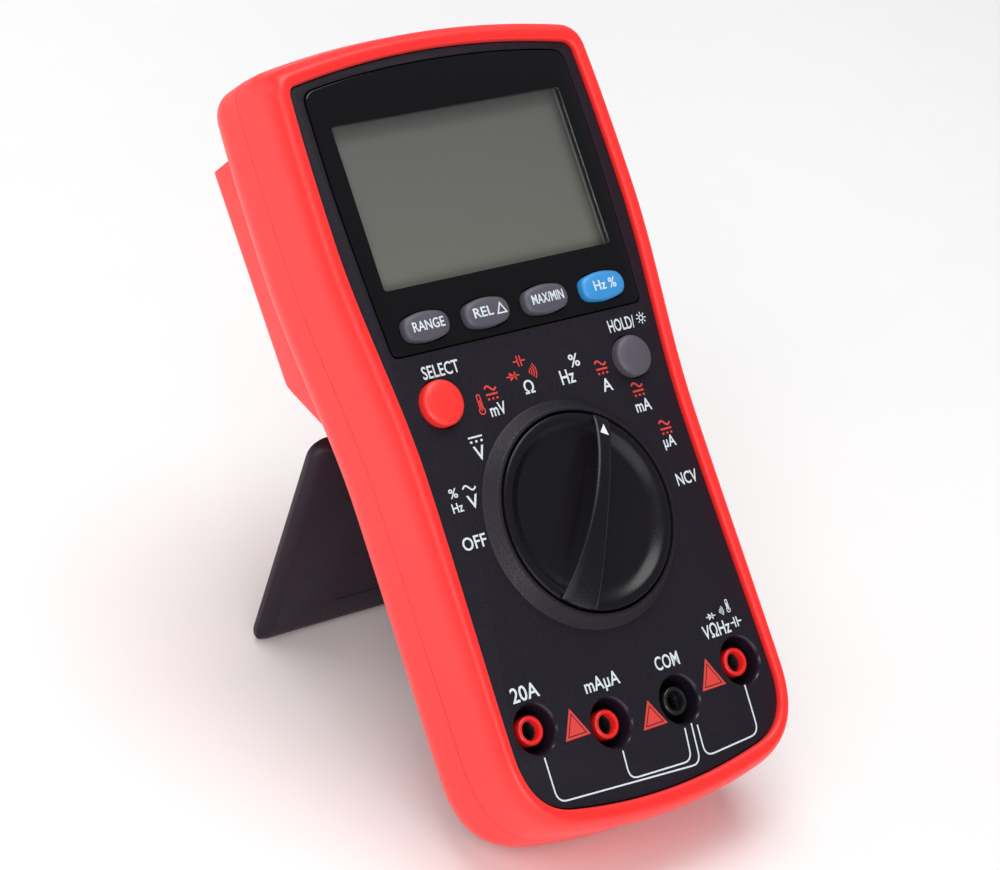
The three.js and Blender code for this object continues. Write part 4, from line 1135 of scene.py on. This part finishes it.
# ---- stand ----
def build_stand(settings):
    half = STAND["thick"] / 2

    def outline(inset):
        wide, end = STAND["half"] - inset, -STAND["long"] + inset
        return mirrored([
            *bezier([(0, end), (wide - 3, end)], 4),
            *bezier([(wide - 3, end), (wide, end), (wide, end + 3)], 8),
            *bezier([(wide, end + 3), (wide, -9)], 4),
            *bezier([(wide, -9), (wide, -5.5), (wide - 3, -5)], 8),
            *bezier([(wide - 3, -5), (STAND["mid"], -4.4)], 2),
            *bezier([(STAND["mid"], -4.4), (STAND["mid"], 0)], 2),
            *bezier([(STAND["mid"], 0), (0, 0)], 4),
            Vector((0, 0)),
        ])

    steps = [(1, -half), (0.3, -half + 0.25), (0, -half + 1), (0, half - 1.6), (0.5, half - 1.0), (2.6, half)]
    body = loft("stand", [ring_at(outline(inset), z) for inset, z in steps])
    body = joined(body, cross_rod(STAND["barrel"], -STAND["mid"], STAND["mid"], 0, 0))
    length = STAND["long"]
    body = cut(
        body,
        slab(rounded_corners(-17, 17, -length + 8, -14, 2), half - 0.1, half + 1),
        box(-9, 9, -length - 1, -length + 1.6, -half - 1, -half + 1.6),
        cross_rod(PIN["r"] + GAP, PIN["from"] - GAP, 40, 0, 0),
        cross_rod(PIN["r"] + GAP, -40, GAP - PIN["from"], 0, 0),
    )
    swing = Matrix.Rotation(math.radians(STAND["open"]), 4, "X")
    body.data.transform(Matrix.Translation((0, HINGE.y, HINGE.z)) @ swing)
    look = look_of("Stand black plastic", surface, settings.stand, 0.45, mottle=0.1, grain=0.6, bump=0.012,
                   wear=0.08, **{"Specular IOR Level": 0.25})
    finished(body, "stand_plate", "stand", [look], ["stand"])


# ---- CAD nodes that keep their own mesh ----
def dress(node, look):
    mesh = frame["nodes"][node].data
    mesh.materials.clear()
    mesh.materials.append(look)


def build_inner_parts():
    white = look_of("White plastic", surface, (0.75, 0.75, 0.72), 0.5, grain=0.6, bump=0.01)
    strip = look_of("Black silicone strip", surface, (0.03, 0.03, 0.03), 0.8, grain=0.3, bump=0.02)
    chip = look_of("Black epoxy", surface, (0.02, 0.02, 0.022), 0.55, grain=0.25, bump=0.02)
    looks = {
        "lcd_frame": white, "backlight": white, "contact_strip_upper": strip, "contact_strip_lower": strip,
        "keypad": look_of("Grey translucent silicone", surface, (0.3, 0.3, 0.33), 0.6, grain=0.8, bump=0.01),
        "knob_rotor": look_of("Natural acetal", surface, (0.72, 0.7, 0.62), 0.45, grain=0.8, bump=0.008),
        "wiper_inner": brass(), "wiper_outer": brass(), "voltage_sensor": brass(),
        "main_board": look_of("Green solder mask", circuit_board),
        "shunt": look_of("Copper alloy wire", surface, (0.7, 0.36, 0.2), 0.3, metallic=1.0, grain=0.5,
                         bump=0.01),
        "buzzer": chip, "processor_chip": chip, "converter_chip": chip, "battery_snap": chip,
        "battery": look_of("Battery jacket", surface, (0.05, 0.05, 0.06), 0.35, grain=1.2, bump=0.004),
        "battery_lead_red": look_of("Red lead sheath", surface, (0.5, 0.02, 0.02), 0.5, grain=0.5, bump=0.01),
        "battery_lead_black": strip,
        "rating_label": look_of("Label film", surface, (0.55, 0.55, 0.56), 0.4, grain=1.5, bump=0.003),
    }
    ceramic = look_of("Fuse ceramic", surface, (0.8, 0.78, 0.72), 0.35, grain=0.7, bump=0.008)
    for name in frame["nodes"]:
        if name.startswith(("detent_", "board_screw_", "hinge_pin_")):
            looks[name] = steel()
        if name.startswith("fuse_clip_"):
            looks[name] = brass()
    looks["fuse_20a"] = looks["fuse_ma"] = ceramic
    for name, look in looks.items():
        dress(name, look)


# ---- stage ----
def build_stage(settings):
    scene = bpy.context.scene
    scene.view_settings.view_transform = "Standard"
    half = settings.floor_size / 2
    steps = 8
    points = [(half * (2 * i / steps - 1), half * (2 * j / steps - 1), 0)
              for j in range(steps + 1) for i in range(steps + 1)]
    row = steps + 1
    faces = [(j * row + i, j * row + i + 1, (j + 1) * row + i + 1, (j + 1) * row + i)
             for j in range(steps) for i in range(steps)]
    floor = build("floor", points, faces)
    pale = look_of("Pale floor", surface, settings.floor, 0.7, mottle=0.01, grain=4, bump=0.0)
    floor.data.materials.append(pale)
    world = bpy.data.worlds.new("Soft studio")
    world.use_nodes = True
    world.node_tree.nodes["Background"].inputs["Color"].default_value = (1, 1, 1, 1)
    world.node_tree.nodes["Background"].inputs["Strength"].default_value = settings.surround
    scene.world = world
    target = ORIGIN
    lamps = {
        "key_softbox": ((-0.95, -0.35, 0.95), 0.8, settings.key_power),
        "overhead_softbox": ((0.1, 0.25, 1.25), 1.0, settings.top_power),
        "rear_left_softbox": ((-0.9, 0.75, 0.45), 0.7, settings.rim_power),
        "front_fill": ((-0.2, -1.2, 0.5), 0.9, settings.fill_power),
        "camera_softbox": ((-0.75, -0.95, 0.35), 0.5, settings.face_power),
    }
    for name, (place, size, power) in lamps.items():
        lamp = bpy.data.lights.new(name, "AREA")
        lamp.size = size
        lamp.energy = power
        holder = bpy.data.objects.new(name, lamp)
        holder.location = place
        holder.rotation_euler = (Vector(place) - target).to_track_quat("Z", "Y").to_euler()
        scene.collection.objects.link(holder)
    lens = bpy.data.cameras.new("camera")
    lens.lens = settings.focal_length
    lens.sensor_width = 36
    lens.shift_x, lens.shift_y = -0.0039, 0.0097
    lens.clip_start, lens.clip_end = 0.01, 50
    camera = bpy.data.objects.new("camera", lens)
    az, el = settings.azimuth, settings.elevation
    back = Vector((math.sin(az) * math.cos(el), -math.cos(az) * math.cos(el), math.sin(el)))
    aim = Vector(settings.aim)
    look_at = back.to_track_quat("Z", "Y") @ Matrix.Rotation(settings.roll, 3, "Z").to_quaternion()
    camera.matrix_world = Matrix.Translation(aim + back * settings.distance) @ look_at.to_matrix().to_4x4()
    scene.collection.objects.link(camera)
    scene.camera = camera


# ---- settings ----
def colour_setting(name, description, default):
    return FloatVectorProperty(name=name, description=description, subtype="COLOR", size=3, min=0, max=1,
                               default=default)


def power_setting(name, description, default):
    return FloatProperty(name=name, description=description, default=default, unit="POWER")


class ShellSettings(bpy.types.PropertyGroup):
    red: colour_setting("Red", "Colour of the rubber shells", (0.93, 0.018, 0.016))
    black: colour_setting("Black", "Colour of the front panel and the jack wells", (0.0085, 0.0062, 0.0125))
    softness: FloatProperty(name="Softness", description="Roughness of the rubber", default=0.42,
                            min=0, max=1, subtype="FACTOR")


class DisplaySettings(bpy.types.PropertyGroup):
    border: colour_setting("Border", "Black printed behind the lens", (0.004, 0.0035, 0.005))
    film: colour_setting("Film", "Colour of the blank display", (0.29, 0.29, 0.265))


class ControlSettings(bpy.types.PropertyGroup):
    grey: colour_setting("Grey", "Colour of the plain keys", (0.075, 0.068, 0.09))
    blue: colour_setting("Blue", "Colour of the frequency key", (0.03, 0.25, 0.58))
    red: colour_setting("Red", "Colour of the select button", (0.86, 0.03, 0.025))
    knob: colour_setting("Knob", "Colour of the rotary knob", (0.005, 0.004, 0.0065))
    ink: colour_setting("Pointer", "Colour of the knob's pointer", (0.75, 0.78, 0.8))


class JackSettings(bpy.types.PropertyGroup):
    red: colour_setting("Red", "Colour of the live jacks", (0.72, 0.015, 0.015))
    black: colour_setting("Black", "Colour of the common jack", (0.008, 0.008, 0.009))


class PrintSettings(bpy.types.PropertyGroup):
    white: colour_setting("White", "Colour of the plain markings", (0.6, 0.66, 0.7))
    red: colour_setting("Red", "Colour of the second functions and the triangles", (0.62, 0.045, 0.035))
    letter_height: FloatProperty(name="Letter height", description="Height of the dial's capitals",
                                 default=0.0026, unit="LENGTH", precision=4)


class StandSettings(bpy.types.PropertyGroup):
    stand: colour_setting("Stand", "Colour of the rear stand", (0.017, 0.0095, 0.019))


class StageSettings(bpy.types.PropertyGroup):
    floor: colour_setting("Floor", "Colour of the floor", (0.86, 0.86, 0.86))
    floor_size: FloatProperty(name="Floor size", description="Side of the floor", default=6, unit="LENGTH")
    surround: FloatProperty(name="Surround", description="Strength of the even light all round",
                            default=0.22)
    key_power: power_setting("Key", "Power of the lamp at the upper left", 5)
    top_power: power_setting("Overhead", "Power of the lamp above", 13)
    rim_power: power_setting("Rear left", "Power of the lamp behind", 2.5)
    fill_power: power_setting("Fill", "Power of the low front lamp", 3)
    face_power: power_setting("Face", "Power of the lamp at the lower left of the camera", 6)
    focal_length: FloatProperty(name="Focal length", description="Camera lens", default=113.52, unit="CAMERA")
    azimuth: FloatProperty(name="Azimuth", description="Camera's turn round the meter",
                           default=math.radians(-44.97), subtype="ANGLE")
    elevation: FloatProperty(name="Elevation", description="Camera's height above the horizon",
                             default=math.radians(32.17), subtype="ANGLE")
    roll: FloatProperty(name="Roll", description="Camera's turn about its own line of sight",
                        default=math.radians(13.23), subtype="ANGLE")
    distance: FloatProperty(name="Distance", description="From the camera to its aim", default=0.66379,
                            unit="LENGTH", precision=5)
    aim: FloatVectorProperty(name="Aim", description="Point on the meter that the camera looks at", size=3,
                             default=(-0.00214, -0.00045, 0.06297), subtype="XYZ", unit="LENGTH")


# ---- operators ----
class METER_OT_stage(bpy.types.Operator):
    """Lay the pale floor and set the soft lamps and the camera"""
    bl_idname = "meter.stage"
    bl_label = "Stage"

    def execute(self, context):
        build_stage(context.scene.meter_stage)
        return {"FINISHED"}


class METER_OT_front_bumper(bpy.types.Operator):
    """Build the red rubber edge of the front shell"""
    bl_idname = "meter.front_bumper"
    bl_label = "Front bumper"

    def execute(self, context):
        build_front_bumper(context.scene.meter_shell)
        return {"FINISHED"}


class METER_OT_rear_case(bpy.types.Operator):
    """Build the red rear shell with its battery housing, screw wells and stand ears"""
    bl_idname = "meter.rear_case"
    bl_label = "Rear case"

    def execute(self, context):
        build_rear_case(context.scene.meter_shell)
        return {"FINISHED"}


class METER_OT_front_case(bpy.types.Operator):
    """Build the black front panel with its dial collar, jack wells and openings"""
    bl_idname = "meter.front_case"
    bl_label = "Front case"

    def execute(self, context):
        build_front_case(context.scene.meter_shell)
        return {"FINISHED"}


class METER_OT_battery_door(bpy.types.Operator):
    """Build the battery door with its grip grooves"""
    bl_idname = "meter.battery_door"
    bl_label = "Battery door"

    def execute(self, context):
        build_battery_door(context.scene.meter_shell)
        return {"FINISHED"}


class METER_OT_screws(bpy.types.Operator):
    """Build the case screws and the battery door's screw"""
    bl_idname = "meter.screws"
    bl_label = "Screws"

    def execute(self, context):
        build_screws()
        return {"FINISHED"}


class METER_OT_display(bpy.types.Operator):
    """Build the display's glossy border and clear window and finish the glass behind them"""
    bl_idname = "meter.display"
    bl_label = "Display"

    def execute(self, context):
        build_display(context.scene.meter_display)
        return {"FINISHED"}


class METER_OT_keys(bpy.types.Operator):
    """Build the four barrel-shaped keys under the display"""
    bl_idname = "meter.keys"
    bl_label = "Keys"

    def execute(self, context):
        build_keys(context.scene.meter_controls)
        return {"FINISHED"}


class METER_OT_buttons(bpy.types.Operator):
    """Build the round select and hold buttons"""
    bl_idname = "meter.buttons"
    bl_label = "Round buttons"

    def execute(self, context):
        build_buttons(context.scene.meter_controls)
        return {"FINISHED"}


class METER_OT_knob(bpy.types.Operator):
    """Build the rotary knob with its finger bar and pointer"""
    bl_idname = "meter.knob"
    bl_label = "Rotary knob"

    def execute(self, context):
        build_knob(context.scene.meter_controls)
        return {"FINISHED"}


class METER_OT_jacks(bpy.types.Operator):
    """Build the input jacks' sleeves and contacts"""
    bl_idname = "meter.jacks"
    bl_label = "Input jacks"

    def execute(self, context):
        build_jacks(context.scene.meter_jacks)
        return {"FINISHED"}


class METER_OT_markings(bpy.types.Operator):
    """Print the dial, jack and key markings"""
    bl_idname = "meter.markings"
    bl_label = "Markings"

    def execute(self, context):
        build_markings(context.scene.meter_print)
        return {"FINISHED"}


class METER_OT_stand(bpy.types.Operator):
    """Build the hinged rear stand"""
    bl_idname = "meter.stand"
    bl_label = "Stand"

    def execute(self, context):
        build_stand(context.scene.meter_stand)
        return {"FINISHED"}


class METER_OT_inner_parts(bpy.types.Operator):
    """Finish the parts inside the case"""
    bl_idname = "meter.inner_parts"
    bl_label = "Inner parts"

    def execute(self, context):
        build_inner_parts()
        return {"FINISHED"}


SETTINGS = {
    "meter_stage": StageSettings, "meter_shell": ShellSettings, "meter_display": DisplaySettings,
    "meter_controls": ControlSettings, "meter_jacks": JackSettings, "meter_print": PrintSettings,
    "meter_stand": StandSettings,
}
OPERATORS = (
    METER_OT_stage, METER_OT_front_bumper, METER_OT_rear_case, METER_OT_front_case, METER_OT_battery_door,
    METER_OT_screws, METER_OT_display, METER_OT_keys, METER_OT_buttons, METER_OT_knob, METER_OT_jacks,
    METER_OT_markings, METER_OT_stand, METER_OT_inner_parts,
)


class METER_PT_sidebar(bpy.types.Panel):
    """Lists the meter's settings and builders"""
    bl_idname = "METER_PT_sidebar"
    bl_label = "Digital multimeter"
    bl_space_type = "VIEW_3D"
    bl_region_type = "UI"
    bl_category = "Meter"

    def draw(self, context):
        for owner, group in SETTINGS.items():
            box_layout = self.layout.box()
            for name in group.__annotations__:
                box_layout.prop(getattr(context.scene, owner), name)
        for operator in OPERATORS:
            self.layout.operator(operator.bl_idname)


def register():
    for group in SETTINGS.values():
        bpy.utils.register_class(group)
    for operator in OPERATORS:
        bpy.utils.register_class(operator)
    bpy.utils.register_class(METER_PT_sidebar)
    for owner, group in SETTINGS.items():
        setattr(bpy.types.Scene, owner, PointerProperty(type=group))


def unregister():
    for owner in SETTINGS:
        delattr(bpy.types.Scene, owner)
    bpy.utils.unregister_class(METER_PT_sidebar)
    for operator in reversed(OPERATORS):
        bpy.utils.unregister_class(operator)
    for group in SETTINGS.values():
        bpy.utils.unregister_class(group)


def main():
    register()
    for operator in OPERATORS:
        group, name = operator.bl_idname.split(".")
        getattr(getattr(bpy.ops, group), name)()


if __name__ == "__main__":
    main()
